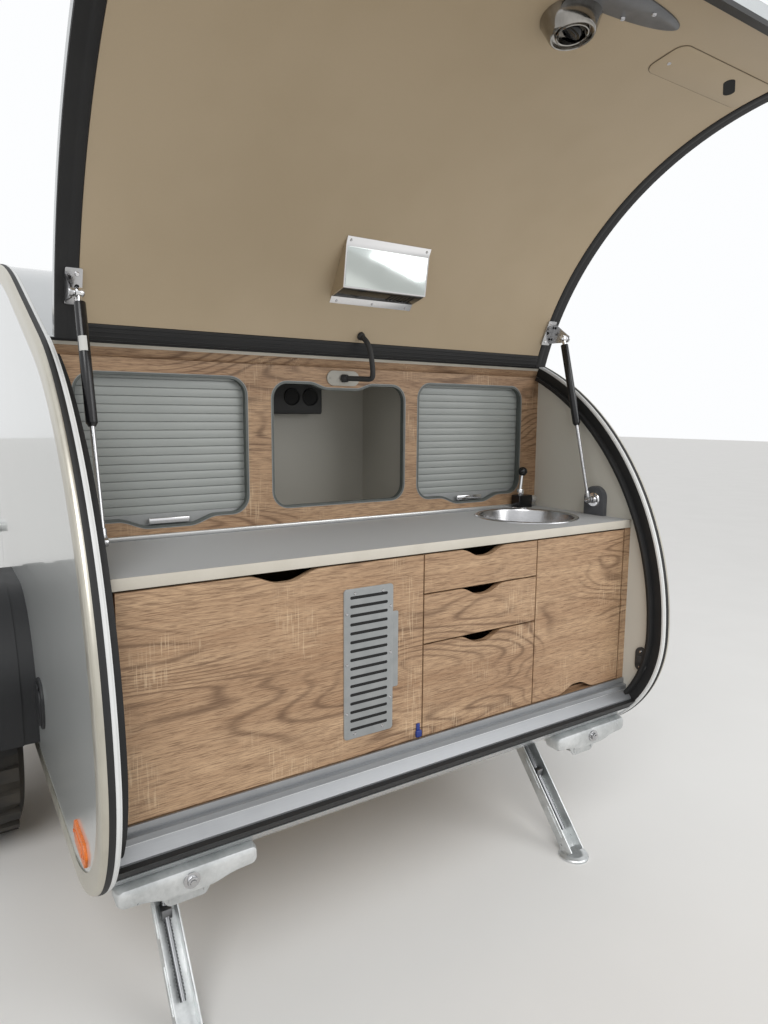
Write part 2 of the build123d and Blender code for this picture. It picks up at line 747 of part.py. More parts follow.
def make_rim():
    """Left steel rim with a dished disc and round vents."""
    y0 = TYRE_INNER_Y + 22
    y1 = TYRE_INNER_Y + TYRE_WIDE - 22
    disc = DISC_Y
    well = RIM_RADIUS - 24
    profile = (
        (y0, RIM_RADIUS + 3.5),
        (y0 + 26, RIM_RADIUS - 6),
        (y0 + 36, well),
        (disc + 16, well),
        (y1 - 22, RIM_RADIUS - 6),
        (y1, RIM_RADIUS + 3.5),
        (y1, RIM_RADIUS - 4),
        (y1 - 18, RIM_RADIUS - 14),
        (disc + 22, well - 8),
        (disc + 16, 112),
        (disc + 2, 66),
        (disc + 2, 34),
        (disc - 6, 34),
        (disc - 6, 70),
        (disc + 8, 116),
        (disc + 10, well - 8),
        (y0 + 38, well - 8),
        (y0 + 22, RIM_RADIUS - 14),
        (y0, RIM_RADIUS - 4),
    )
    face = Face(Wire.make_polygon([(0, y, r) for y, r in profile], close=True))
    rim = revolve(face, Axis((0, 0, 0), (0, 1, 0)), 360)
    for index in range(8):
        angle = math.radians(45.0 * index)
        x = 128 * math.cos(angle)
        z = 128 * math.sin(angle)
        rim -= rod((x, disc - 40, z), (x, disc + 50, z), 15)
    return Pos(AXLE_X, 0, TYRE_RADIUS) * rim


def make_axle():
    """Torsion tube with trailing arms, brake drums and hubs."""
    half = AXLE_TUBE_HALF
    low = (AXLE_TUBE_X - half, -ARM_Y, AXLE_TUBE_Z - half)
    high = (AXLE_TUBE_X + half, ARM_Y, AXLE_TUBE_Z + half)
    rise = TYRE_RADIUS - AXLE_TUBE_Z
    reach = AXLE_X - AXLE_TUBE_X
    slope = math.degrees(math.atan2(rise, reach))
    place = Pos(AXLE_TUBE_X + reach / 2, AXLE_TUBE_Z + rise / 2) * Rot(0, 0, slope)
    arm_outline = SlotCenterToCenter(math.hypot(rise, reach), 84)
    arm = across(Plane.XZ * place * arm_outline, ARM_Y, ARM_Y + ARM_THICK)
    drum = rod((AXLE_X, ARM_Y + ARM_THICK - 1, TYRE_RADIUS), (AXLE_X, DISC_Y - 12, TYRE_RADIUS), 106)
    drum = chamfer(drum.edges().group_by(Axis.Y)[-1], 18)
    hub = rod((AXLE_X, ARM_Y, TYRE_RADIUS), (AXLE_X, DISC_Y + 26, TYRE_RADIUS), 33.5)
    side = arm + drum + hub
    return block(low, high) + side + mirror(side, about=Plane.XZ)


def fender_face(grow):
    """Side outline of the fender, grown on every side, in the XZ plane."""
    radius = FENDER_RADIUS + grow
    high = FENDER_TOP + grow - FENDER_LOW + 2 * radius
    sketch = RectangleRounded(2 * (FENDER_HALF + grow), high, radius)
    return xz_face(sketch, AXLE_X, FENDER_TOP + grow - high / 2)


def make_fender():
    """Left black moulded fender with two raised bands and an open bottom."""
    y0 = HALF_WIDTH
    y1 = FENDER_OUT
    outer = across(fender_face(0), y0, y1)
    outer += across(fender_face(5), y0 + 40, y0 + 96)
    outer += across(fender_face(5), y0 + 140, y1 - 8)
    room = across(fender_face(-FENDER_SKIN), y0 - 1, y1 - FENDER_SKIN)
    mouth = across(fender_face(-40), y1 - FENDER_SKIN - 1, y1 + 1)
    return outer - room - mouth - block((-FAR, 0, -FAR), (FAR, FAR, FENDER_LOW))


# Chassis

def make_chassis():
    """Side rails, cross members, the A shaped drawbar and the jockey wheel's clamp."""
    low = BOTTOM - RAIL_HIGH
    inner = RAIL_Y - RAIL_WIDE / 2
    outer = RAIL_Y + RAIL_WIDE / 2
    half = AXLE_TUBE_HALF
    rail = block((RAIL_REAR_X, inner, low), (DRAWBAR_START_X, outer, BOTTOM))
    rail -= block((AXLE_TUBE_X - half, 0, low - 1), (AXLE_TUBE_X + half, FAR, AXLE_TUBE_Z + half))
    corners = (
        (DRAWBAR_START_X, inner),
        (DRAWBAR_START_X, outer),
        (DRAWBAR_END_X, DRAWBAR_TIP_Y + RAIL_WIDE / 2),
        (DRAWBAR_END_X, DRAWBAR_TIP_Y - RAIL_WIDE / 2),
    )
    outrigger = block((RAIL_REAR_X, outer, low + 40), (RAIL_REAR_X + 50, STEADY_Y + 60, BOTTOM))
    side = rail + plate_xy(corners, low, BOTTOM) + outrigger
    frame = side + mirror(side, about=Plane.XZ)
    for x in (RAIL_REAR_X, DRAWBAR_START_X - 50):
        frame += block((x, -inner, low + 10), (x + 50, inner, BOTTOM))
    frame += block((DRAWBAR_END_X - 120, -40, low), (DRAWBAR_END_X, 40, BOTTOM))
    return frame + make_jockey_clamp()


def make_jockey_clamp():
    """Clamp from the drawbar's left bar round the jockey tube."""
    share = (JOCKEY_X - DRAWBAR_START_X) / (DRAWBAR_END_X - DRAWBAR_START_X)
    bar_y = RAIL_Y + (DRAWBAR_TIP_Y - RAIL_Y) * share
    top = CLAMP_Z + CLAMP_HIGH
    arm = block((JOCKEY_X - 30, bar_y - 10, CLAMP_Z), (JOCKEY_X + 30, JOCKEY_Y, top))
    collar = rod((JOCKEY_X, JOCKEY_Y, CLAMP_Z), (JOCKEY_X, JOCKEY_Y, top), JOCKEY_TUBE + 8)
    return arm + collar - rod((JOCKEY_X, JOCKEY_Y, 0), (JOCKEY_X, JOCKEY_Y, 900), JOCKEY_TUBE + 0.3)


def make_coupling():
    """Coupling head with its ball socket, neck and lift handle."""
    shank = block((DRAWBAR_END_X - 110, -32, BOTTOM), (COUPLING_X - 20, 32, BOTTOM + 62))
    shank = fillet(shank.edges().filter_by(Axis.X).group_by(Axis.Z)[-1], 12)
    head = rod((COUPLING_X, 0, BOTTOM + 34), (COUPLING_X, 0, BOTTOM + 116), COUPLING_RADIUS)
    head = fillet(head.edges().group_by(Axis.Z)[-1], 14)
    neck = block((COUPLING_X - 80, -12, BOTTOM + 50), (COUPLING_X - 30, 12, BOTTOM + 96))
    grip = rod((COUPLING_X - 56, 0, BOTTOM + 84), (COUPLING_X - 190, 0, BOTTOM + 112), 13)
    socket = rod((COUPLING_X, 0, BOTTOM - 1), (COUPLING_X, 0, BALL_Z), BALL_BORE)
    return shank + head + neck + grip - socket - Pos(COUPLING_X, 0, BALL_Z) * Sphere(BALL_BORE)


def make_handbrake():
    """Handbrake lever on its bracket, on the right of the coupling's shank."""
    x = DRAWBAR_END_X - 60
    plate = block((x - 40, -40, BOTTOM), (x + 40, -34, BOTTOM + 66))
    lever = rod((x, -52, BOTTOM + 48), (x - 210, -52, BOTTOM + 96), 11)
    return plate + lever + rod((x, -66, BOTTOM + 48), (x, -38, BOTTOM + 48), 20)


def make_jockey_tube():
    """Outer tube with its crank."""
    low = 2 * JOCKEY_WHEEL + 30
    tube = rod((JOCKEY_X, JOCKEY_Y, low), (JOCKEY_X, JOCKEY_Y, 690), JOCKEY_TUBE)
    tube -= rod((JOCKEY_X, JOCKEY_Y, low - 1), (JOCKEY_X, JOCKEY_Y, 500), JOCKEY_STEM + 0.4)
    neck = rod((JOCKEY_X, JOCKEY_Y, 689), (JOCKEY_X, JOCKEY_Y, 720), 9)
    arm = block((JOCKEY_X - 10, JOCKEY_Y - 10, 718), (JOCKEY_X + 100, JOCKEY_Y + 10, 726))
    return tube + neck + arm + rod((JOCKEY_X + 90, JOCKEY_Y, 725), (JOCKEY_X + 90, JOCKEY_Y, 790), 12)


def make_jockey_fork():
    """Inner tube and fork of the jockey wheel."""
    x = JOCKEY_X - JOCKEY_TRAIL
    crown = 2 * JOCKEY_WHEEL + 7
    fork = block((JOCKEY_X - 62, JOCKEY_Y - 40, crown), (JOCKEY_X + 20, JOCKEY_Y + 40, crown + 6))
    fork += rod((JOCKEY_X, JOCKEY_Y, crown + 5), (JOCKEY_X, JOCKEY_Y, 480), JOCKEY_STEM)
    hub = JOCKEY_WHEEL
    corners = ((JOCKEY_X + 16, crown + 6), (JOCKEY_X - 58, crown + 6), (x - 18, hub - 16), (x + 18, hub - 16))
    for y in (JOCKEY_Y - 40, JOCKEY_Y + 34):
        fork += across(polygon_xz(corners), y, y + 6)
    return fork + rod((x, JOCKEY_Y - 44, hub), (x, JOCKEY_Y + 44, hub), 8)


def make_jockey_wheel():
    """Jockey wheel with a rounded tread."""
    x = JOCKEY_X - JOCKEY_TRAIL
    wheel = rod((x, JOCKEY_Y - 28, JOCKEY_WHEEL), (x, JOCKEY_Y + 28, JOCKEY_WHEEL), JOCKEY_WHEEL)
    wheel = fillet(wheel.edges().filter_by(GeomType.CIRCLE), 14)
    return wheel - rod((x, JOCKEY_Y - 40, JOCKEY_WHEEL), (x, JOCKEY_Y + 40, JOCKEY_WHEEL), 8.2)


# Steadies

def make_steady_bar():
    """Pressed bar under the left rear edge, thinner from below towards its ends."""
    middle = Plane(origin=(HOUSING_X, STEADY_Y, HOUSING_Z), x_dir=(1, 0, 0), z_dir=(0, 1, 0))
    section = RectangleRounded(44, 40, 12)
    bar = extrude(middle * section, amount=60, both=True)
    for sign in (-1, 1):
        near = middle.offset(sign * 60)
        far = middle.offset(sign * HOUSING_HALF)
        bar += loft([near * section, far * Pos(0, -6) * RectangleRounded(34, 24, 8)])
    return bar + rod((HOUSING_X - 34, STEADY_Y, HOUSING_Z), (HOUSING_X, STEADY_Y, HOUSING_Z), 8)


def make_steady_mount():
    """Pressed bar and the bracket that carries the left leg's pivot."""
    px, pz = STEADY_PIVOT
    inner = LEG_WIDE / 2 + 8
    outer = inner + PRESSED
    front = px + 30
    points = (
        (front, BOTTOM),
        (front, pz - 20),
        (px - 26, pz - 20),
        (px - 90, BOTTOM - 16),
        (HOUSING_X + 10, HOUSING_Z - 42),
        (HOUSING_X + 10, HOUSING_Z - 13),
        (REAR_CORNER_X - 90, BOTTOM),
    )
    mount = make_steady_bar()
    for low in (-outer, inner):
        mount += across(polygon_xz(points), STEADY_Y + low, STEADY_Y + low + PRESSED)
    mount += block((REAR_CORNER_X, STEADY_Y - outer, BOTTOM - PRESSED), (front, STEADY_Y + outer, BOTTOM))
    mount += block((front - PRESSED, STEADY_Y - outer, pz - 20), (RAIL_REAR_X, STEADY_Y + outer, BOTTOM))
    return mount + rod((px, STEADY_Y - outer - 4, pz), (px, STEADY_Y + outer + 4, pz), 6)


def make_steady_leg():
    """Left channel leg, open to the rear, on its round pressed foot."""
    px, pz = STEADY_PIVOT
    fx, fz = STEADY_FOOT
    line = Vector(fx - px, 0, fz - pz)
    start = Vector(px, STEADY_Y, pz) - line.normalized() * 16
    plane = Plane(origin=start, x_dir=(0, 1, 0), z_dir=line)
    outside = Rectangle(LEG_WIDE, LEG_DEEP)
    inside = Pos(0, -PRESSED) * Rectangle(LEG_WIDE - 2 * PRESSED, LEG_DEEP)
    leg = extrude(plane * (outside - inside), amount=line.length + 16)
    for side in (-1, 1):
        for reach in (120, 270):
            rib = plane.offset(reach) * Pos(side * LEG_WIDE / 2, 0) * Rectangle(4, 16)
            leg += extrude(rib, amount=95)
    leg -= block((-FAR, 0, -FAR), (FAR, FAR, 5))
    leg -= rod((px, STEADY_Y - 60, pz), (px, STEADY_Y + 60, pz), 6.3)
    foot = rod((fx, STEADY_Y, 0), (fx, STEADY_Y, 8), 44)
    return leg + chamfer(foot.edges().group_by(Axis.Z)[-1], 3)


# Side doors and fittings

def make_side_door():
    """Left side door with its round window opening and a handle."""
    door = across(xz_face(door_sketch(0), DOOR_X, DOOR_Z), INNER, HALF_WIDTH)
    door -= rod((DOOR_X, INNER - 1, WINDOW_Z), (DOOR_X, HALF_WIDTH + 1, WINDOW_Z), WINDOW_RADIUS)
    handle = block((DOOR_X - 285, HALF_WIDTH - 1, 870), (DOOR_X - 175, HALF_WIDTH + 22, 905))
    return door + fillet(handle.edges().filter_by(Axis.Y), 12)


def make_window():
    """Round pane of the left door."""
    return rod((DOOR_X, HALF_WIDTH - 18, WINDOW_Z), (DOOR_X, HALF_WIDTH - 12, WINDOW_Z), WINDOW_RADIUS)


def make_markers():
    """Orange side markers low at the rear of each wall."""
    points = ((-1487, 440), (-1465, 466), (-1359, 466), (-1337, 440), (-1359, 414), (-1465, 414))
    return together(both_sides(across(polygon_xz(points), HALF_WIDTH, HALF_WIDTH + 12)))


def make_wall_fittings():
    """Black pieces: an inlet outside, catch plates inside and the small box in the niche."""
    inlet = across(xz_face(RectangleRounded(130, 120, 50), -905.0, 558.0), HALF_WIDTH, HALF_WIDTH + 9)
    catch = across(xz_face(RectangleRounded(36, 68, 17), -1613.0, 632.0), INNER - 3, INNER)
    x = PANEL_X + BOARD + CUPBOARD_DEPTH - 12
    box = block((x - 60, 72, 1315), (x, 205, 1388))
    return together([inlet, box] + both_sides(catch))


def make_mattress():
    """Mattress on the floor of the cabin."""
    pad = block((PANEL_X + BOARD + 12, -INNER + 8, BOTTOM + FLOOR), (780, INNER - 8, BOTTOM + FLOOR + 120))
    return fillet(pad.edges(), 25)


def make_vent_base():
    """Frame of the roof vent, through the roof and seated on it."""
    frame = Pos(0, 0, 4) * Box(2 * VENT_HALF - 2, 2 * VENT_HALF - 2, 92)
    flange = at_vent(Pos(0, 0, -2) * Box(2 * VENT_HALF + 50, 2 * VENT_HALF + 50, 36))
    flange -= across(side_face(0), -INNER, INNER)
    return flange + at_vent(frame) - at_vent(Box(2 * VENT_HALF - 30, 2 * VENT_HALF - 30, 200))


def make_vent_lid():
    """Shallow lid of the roof vent, closed."""
    size = 2 * VENT_HALF + 40
    lid = fillet(Box(size, size, 40).edges().filter_by(Axis.Z), 40)
    lid = chamfer(lid.edges().group_by(Axis.Z)[-1], 12)
    return at_vent(Pos(0, 0, 46) * (lid - Pos(0, 0, -8) * Box(size - 16, size - 16, 40)))


def main():
    """Build every node and write it."""
    nodes = {}
    mirrored = (
        ("wall", make_wall()),
        ("side_door", make_side_door()),
        ("door_window", make_window()),
        ("strut_tube", make_strut_tube()),
        ("strut_rod", make_strut_rod()),
        ("tyre", make_tyre()),
        ("rim", make_rim()),
        ("fender", make_fender()),
        ("steady_leg", make_steady_leg()),
    )
    for name, shape in mirrored:
        nodes[f"{name}_left"], nodes[f"{name}_right"] = both_sides(shape)
    nodes["body_skin"] = make_skin()
    nodes["floor_deck"] = make_floor()
    nodes["sill"] = make_sill()
    nodes["opening_seals"] = make_seals()
    nodes["edge_trims"] = make_trim()
    nodes["hatch_shell"] = make_hatch_shell()
    nodes["hatch_border"] = make_hatch_border()
    nodes["hatch_light_box"] = make_light_box()
    nodes["hatch_downlight"] = make_downlight()
    nodes["hatch_plates"] = make_hatch_plates()
    nodes["hatch_lamps"] = make_hatch_lamps()
    nodes["hatch_brackets"] = together(both_sides(make_hatch_bracket()))
    nodes["wall_brackets"] = together(both_sides(make_wall_bracket()))
    for name, left, right, low, high, notch in FRONTS:
        if name == "flap_right":
            nodes[name] = make_front(left, right, low, high, notch, -1)
        else:
            nodes[name] = make_drawer(left, right, low, high, notch)
    nodes["vent_grille"] = make_grille()
    nodes["lower_cabinet"] = make_lower_cabinet()
    nodes["worktop"] = make_worktop()
    nodes["sink"] = make_sink()
    nodes["tap"] = make_tap()
    nodes["back_panel"] = make_back_panel()
    nodes["upper_cabinet"] = make_upper_cabinet()
    nodes["roller_shutters"] = make_shutters()
    nodes["conduit"] = make_conduit()
    nodes["conduit_plate"] = make_conduit_plate()
    nodes["axle"] = make_axle()
    nodes["chassis"] = make_chassis()
    nodes["coupling_head"] = make_coupling()
    nodes["handbrake"] = make_handbrake()
    nodes["jockey_tube"] = make_jockey_tube()
    nodes["jockey_fork"] = make_jockey_fork()
    nodes["jockey_wheel"] = make_jockey_wheel()
    nodes["steady_mounts"] = together(both_sides(make_steady_mount()))
    nodes["side_markers"] = make_markers()
    nodes["wall_fittings"] = make_wall_fittings()
    nodes["mattress"] = make_mattress()
    nodes["vent_base"] = make_vent_base()
    nodes["vent_lid"] = make_vent_lid()
    for name, shape in nodes.items():
        export_step(shape, f"parts/{name}.step")
    boxes = [shape.bounding_box() for shape in nodes.values()]
    print("X from", min(b.min.X for b in boxes), "to", max(b.max.X for b in boxes))
    print("nodes", len(nodes))


if __name__ == "__main__":
    main()
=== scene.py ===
"""Teardrop trailer with an open rear galley: finishes, fine pieces, light and camera."""

from __future__ import annotations

import json
import logging
import math
from dataclasses import dataclass
from enum import Enum
from typing import Iterable, Sequence

import bmesh
import bpy
from mathutils import Matrix, Vector

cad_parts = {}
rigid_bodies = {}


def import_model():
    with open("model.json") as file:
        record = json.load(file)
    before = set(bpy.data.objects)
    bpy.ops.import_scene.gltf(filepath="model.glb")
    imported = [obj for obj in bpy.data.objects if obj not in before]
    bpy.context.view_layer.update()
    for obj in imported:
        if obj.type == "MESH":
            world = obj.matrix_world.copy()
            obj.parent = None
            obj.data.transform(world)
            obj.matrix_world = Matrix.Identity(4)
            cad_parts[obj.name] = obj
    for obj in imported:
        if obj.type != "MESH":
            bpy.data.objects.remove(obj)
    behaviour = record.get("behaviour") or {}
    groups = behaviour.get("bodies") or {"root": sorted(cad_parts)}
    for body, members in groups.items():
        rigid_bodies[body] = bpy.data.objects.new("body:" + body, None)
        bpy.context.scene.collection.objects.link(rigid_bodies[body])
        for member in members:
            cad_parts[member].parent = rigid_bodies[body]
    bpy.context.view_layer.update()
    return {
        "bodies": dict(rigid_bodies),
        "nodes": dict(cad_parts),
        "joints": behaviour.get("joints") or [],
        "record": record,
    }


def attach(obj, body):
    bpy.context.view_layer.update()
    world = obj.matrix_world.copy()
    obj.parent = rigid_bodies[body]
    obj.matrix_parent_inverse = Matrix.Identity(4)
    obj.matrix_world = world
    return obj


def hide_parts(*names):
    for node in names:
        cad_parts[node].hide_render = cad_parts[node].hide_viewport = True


LOG = logging.getLogger("teardrop")
Colour = tuple[float, float, float]
Triple = Sequence[float]

BODY = "trailer_body"
HALF_WIDTH = 0.760
INNER = 0.730
OPEN_ANGLE = math.radians(96.5)
HINGE = Vector((-1.190, 0.0, 1.4725))
FRONT_X = -1.573
PANEL_X = -1.184
WORKTOP_Z = 1.018
INSIDE = INNER - 0.0005


class Side(Enum):
    """Side of the trailer, as the sign of Y."""

    LEFT = 1
    RIGHT = -1

    @property
    def word(self) -> str:
        """The side's name in lower case."""
        return self.name.lower()


class Along(Enum):
    """World direction that a grain or a brushed finish runs along."""

    X = 0
    Y = 1
    Z = 2

    def stretch(self, amount: float) -> tuple[float, float, float]:
        """Scale that draws a pattern out along this direction.

        Args:
            amount: Scale along the direction, small for long streaks.

        Returns:
            Three factors for a Mapping node.
        """
        factors = [1.0, 1.0, 1.0]
        factors[self.value] = amount
        return tuple(factors)


def linear(red: int, green: int, blue: int) -> Colour:
    """Scene-linear colour from display values.

    Args:
        red: Red from 0 to 255.
        green: Green from 0 to 255.
        blue: Blue from 0 to 255.

    Returns:
        The colour that the shaders take.
    """
    found = []
    for value in (red, green, blue):
        share = value / 255.0
        found.append(share / 12.92 if share <= 0.04045 else ((share + 0.055) / 1.055) ** 2.4)
    return tuple(found)


class Signal:
    """A shader socket that takes part in arithmetic."""

    def __init__(self, kit: "Nodes", socket: bpy.types.NodeSocket) -> None:
        """Wraps an output socket of a node tree."""
        self.kit = kit
        self.socket = socket

    def maths(self, operation: str, first: "Signal | float", second: "Signal | float" = 0.0) -> "Signal":
        """Runs one Math node.

        Args:
            operation: Name of the node's operation.
            first: First input.
            second: Second input.

        Returns:
            The node's result.
        """
        node = self.kit.node("ShaderNodeMath", {"operation": operation}, {0: first, 1: second})
        return Signal(self.kit, node.outputs[0])

    def __add__(self, other: "Signal | float") -> "Signal":
        """Sum."""
        return self.maths("ADD", self, other)

    def __radd__(self, other: float) -> "Signal":
        """Sum with the number first."""
        return self.maths("ADD", other, self)

    def __sub__(self, other: "Signal | float") -> "Signal":
        """Difference."""
        return self.maths("SUBTRACT", self, other)

    def __rsub__(self, other: float) -> "Signal":
        """Difference with the number first."""
        return self.maths("SUBTRACT", other, self)

    def __mul__(self, other: "Signal | float") -> "Signal":
        """Product."""
        return self.maths("MULTIPLY", self, other)

    def __rmul__(self, other: float) -> "Signal":
        """Product with the number first."""
        return self.maths("MULTIPLY", other, self)

    def __pow__(self, other: float) -> "Signal":
        """Power."""
        return self.maths("POWER", self, other)

    def __abs__(self) -> "Signal":
        """Absolute value."""
        return self.maths("ABSOLUTE", self)

    def sine(self) -> "Signal":
        """Sine."""
        return self.maths("SINE", self)

    def larger(self, other: "Signal | float") -> "Signal":
        """The larger of two signals."""
        return self.maths("MAXIMUM", self, other)

    def step(self, low: float, high: float) -> "Signal":
        """Smooth step from 0 at one value to 1 at another."""
        values = {"Value": self, "From Min": low, "From Max": high}
        node = self.kit.node("ShaderNodeMapRange", {"interpolation_type": "SMOOTHSTEP"}, values)
        return Signal(self.kit, node.outputs["Result"])


class Nodes:
    """A node tree with one way to add nodes to it."""

    def __init__(self, tree: bpy.types.NodeTree) -> None:
        """Empties a tree and takes it over."""
        self.tree = tree
        tree.nodes.clear()

    def join(self, value: object, socket: bpy.types.NodeSocket) -> None:
        """Links a signal to an input, or sets the input's value.

        Args:
            value: Signal, number, vector or colour.
            socket: The input.
        """
        if isinstance(value, Signal):
            self.tree.links.new(value.socket, socket)
        elif socket.type == "RGBA" and len(value) == 3:
            socket.default_value = (*value, 1.0)
        else:
            socket.default_value = value

    def node(self, kind: str, settings: dict[str, object] | None = None,
             inputs: dict[int | str, object] | None = None) -> bpy.types.Node:
        """Adds a node.

        Args:
            kind: The node's type.
            settings: Its settings, which are made first.
            inputs: Values or signals of its sockets.

        Returns:
            The new node.
        """
        made = self.tree.nodes.new(kind)
        for name, value in (settings or {}).items():
            setattr(made, name, value)
        for key, value in (inputs or {}).items():
            self.join(value, made.inputs[key])
        return made


class Shade(Nodes):
    """A material being built on one Principled shader."""

    def __init__(self, name: str) -> None:
        """Starts a material with its shader and output."""
        self.material = bpy.data.materials.new(name)
        self.material.use_nodes = True
        super().__init__(self.material.node_tree)
        self.shader = self.node("ShaderNodeBsdfPrincipled")
        self.node("ShaderNodeOutputMaterial", None, {"Surface": Signal(self, self.shader.outputs[0])})

    def place(self, scale: Triple = (1.0, 1.0, 1.0)) -> Signal:
        """Object coordinates, scaled."""
        source = Signal(self, self.node("ShaderNodeTexCoord").outputs["Object"])
        mapping = self.node("ShaderNodeMapping", None, {"Vector": source, "Scale": scale})
        return Signal(self, mapping.outputs[0])

    def parts(self, vector: Signal) -> tuple[Signal, Signal, Signal]:
        """X, Y and Z of a vector signal."""
        node = self.node("ShaderNodeSeparateXYZ", None, {0: vector})
        return tuple(Signal(self, socket) for socket in node.outputs)

    def noise(self, vector: Signal, scale: float, detail: float = 3.0, rough: float = 0.55,
              warp: float = 0.0) -> Signal:
        """Noise between 0 and 1.

        Args:
            vector: Place to read.
            scale: Cells in a metre of that place.
            detail: Octaves.
            rough: Weight of the finer octaves.
            warp: Distortion.

        Returns:
            The noise value.
        """
        values = {"Vector": vector, "Scale": scale, "Detail": detail, "Roughness": rough, "Distortion": warp}
        return Signal(self, self.node("ShaderNodeTexNoise", None, values).outputs[0])

    def cells(self, vector: Signal, scale: float) -> Signal:
        """Distance to the nearest of scattered points."""
        node = self.node("ShaderNodeTexVoronoi", None, {"Vector": vector, "Scale": scale})
        return Signal(self, node.outputs["Distance"])

    def grains(self, vector: Signal, scale: float) -> Signal:
        """Random value of each cell."""
        node = self.node("ShaderNodeTexVoronoi", None, {"Vector": vector, "Scale": scale})
        split = self.node("ShaderNodeSeparateColor", None, {0: Signal(self, node.outputs["Color"])})
        return Signal(self, split.outputs[0])

    def mix(self, amount: Signal | float, first: Signal | Colour, second: Signal | Colour) -> Signal:
        """Blend of two colours.

        Args:
            amount: 0 for the first, 1 for the second.
            first: Colour or signal.
            second: Colour or signal.

        Returns:
            The blended colour.
        """
        node = self.node("ShaderNodeMix", {"data_type": "RGBA"}, {0: amount, 6: first, 7: second})
        return Signal(self, node.outputs[2])

    def bump(self, height: Signal, distance: float, strength: float = 1.0) -> None:
        """Adds relief to the shader's normal.

        Args:
            height: Height from 0 to 1.
            distance: Height in metres of a full step.
            strength: Strength of the Bump node.
        """
        values = {"Height": height, "Distance": distance, "Strength": strength}
        self.feed("Normal", Signal(self, self.node("ShaderNodeBump", None, values).outputs[0]))

    def feed(self, name: str, value: "Signal | Colour | float") -> None:
        """Sets or links one input of the shader."""
        self.join(value, self.shader.inputs[name])


class Finish:
    """Base of the finishes: each makes its material once."""

    name: str

    def paint(self, shade: Shade) -> None:
        """Fills a new material's shader."""
        raise NotImplementedError

    def material(self) -> bpy.types.Material:
        """The finish's material, made at its first use."""
        found = bpy.data.materials.get(self.name)
        if found is None:
            shade = Shade(self.name)
            self.paint(shade)
            found = shade.material
        return found


@dataclass(frozen=True)
class Moulded(Finish):
    """Moulded plastic or rubber with a fine grain and slight dust."""

    name: str
    colour: Colour
    dust: Colour
    rough: float = 0.5
    grain: float = 900.0
    depth: float = 0.0002
    dusty: float = 0.25

    def paint(self, shade: Shade) -> None:
        """Fills a new material's shader."""
        cloud = shade.noise(shade.place(), 9.0, 4.0)
        fine = shade.noise(shade.place(), self.grain, 2.0)
        shade.feed("Base Color", shade.mix(cloud.step(0.35, 0.8) * self.dusty, self.colour, self.dust))
        shade.feed("Roughness", cloud * 0.16 + (self.rough - 0.08))
        shade.bump(fine, self.depth, 0.5)


@dataclass(frozen=True)
class Metal(Finish):
    """Bare or plated metal with brushed streaks and clouded gloss."""

    name: str
    colour: Colour
    shadow: Colour
    rough: float = 0.3
    along: Along = Along.Y
    streak: float = 0.04
    fine: float = 260.0
    depth: float = 0.00008
    metallic: float = 1.0

    def paint(self, shade: Shade) -> None:
        """Fills a new material's shader."""
        streaks = shade.noise(shade.place(self.along.stretch(self.streak)), self.fine, 3.0)
        cloud = shade.noise(shade.place(), 14.0, 3.0)
        shade.feed("Base Color", shade.mix(streaks * 0.5 + cloud * 0.5, self.shadow, self.colour))
        shade.feed("Metallic", self.metallic)
        shade.feed("Roughness", streaks * 0.14 + cloud * 0.12 + (self.rough - 0.13))
        shade.bump(streaks, self.depth, 0.4)


@dataclass(frozen=True)
class Zinc(Finish):
    """Bright zinc plate with cloudy spangle and dull stains."""

    name: str = "zinc_coat"
    bright: Colour = linear(222, 224, 224)
    dull: Colour = linear(182, 185, 185)

    def paint(self, shade: Shade) -> None:
        """Fills a new material's shader."""
        crystal = shade.grains(shade.place(), 150.0)
        cloud = shade.noise(shade.place(), 14.0, 4.0, 0.6)
        tone = crystal * 0.16 + cloud.step(0.3, 0.7) * 0.84
        shade.feed("Base Color", shade.mix(tone, self.dull, self.bright))
        shade.feed("Metallic", 0.72)
        shade.feed("Roughness", crystal * 0.05 + cloud * 0.20 + 0.20)
        shade.bump(shade.noise(shade.place(), 60.0, 3.0), 0.0003, 0.4)


@dataclass(frozen=True)
class Enamel(Finish):
    """Glossy metallic body paint with flakes and a clear coat."""

    name: str
    colour: Colour
    dark: Colour
    coat: float = 0.9

    def paint(self, shade: Shade) -> None:
        """Fills a new material's shader."""
        flakes = shade.grains(shade.place(), 1500.0)
        cloud = shade.noise(shade.place(), 3.0, 2.0)
        shade.feed("Base Color", shade.mix(flakes * 0.5 + cloud * 0.5, self.dark, self.colour))
        shade.feed("Metallic", 0.35)
        shade.feed("Roughness", cloud * 0.06 + 0.30)
        shade.feed("Coat Weight", self.coat)
        shade.feed("Coat Roughness", 0.05)
        shade.bump(shade.noise(shade.place(), 120.0, 1.0), 0.00006, 0.25)


@dataclass(frozen=True)
class WallBoard(Finish):
    """Side wall: body paint outside, pale laminate inside."""

    name: str
    outside: Colour
    inside: Colour

    def paint(self, shade: Shade) -> None:
        """Fills a new material's shader."""
        across = abs(shade.parts(shade.place())[1]).step(HALF_WIDTH - 0.022, HALF_WIDTH - 0.018)
        flakes = shade.grains(shade.place(), 1500.0) * 0.12
        cloud = shade.noise(shade.place(), 5.0, 3.0) * 0.14
        shadow = tuple(part * 0.7 for part in self.inside)
        deep = tuple(part * 0.6 for part in self.outside)
        pale = shade.mix(cloud, self.inside, shadow)
        silver = shade.mix(flakes + cloud, self.outside, deep)
        shade.feed("Base Color", shade.mix(across, pale, silver))
        shade.feed("Metallic", across * 0.35)
        shade.feed("Roughness", 0.48 - across * 0.2)
        shade.feed("Coat Weight", across * 0.8)
        shade.feed("Coat Roughness", 0.05)


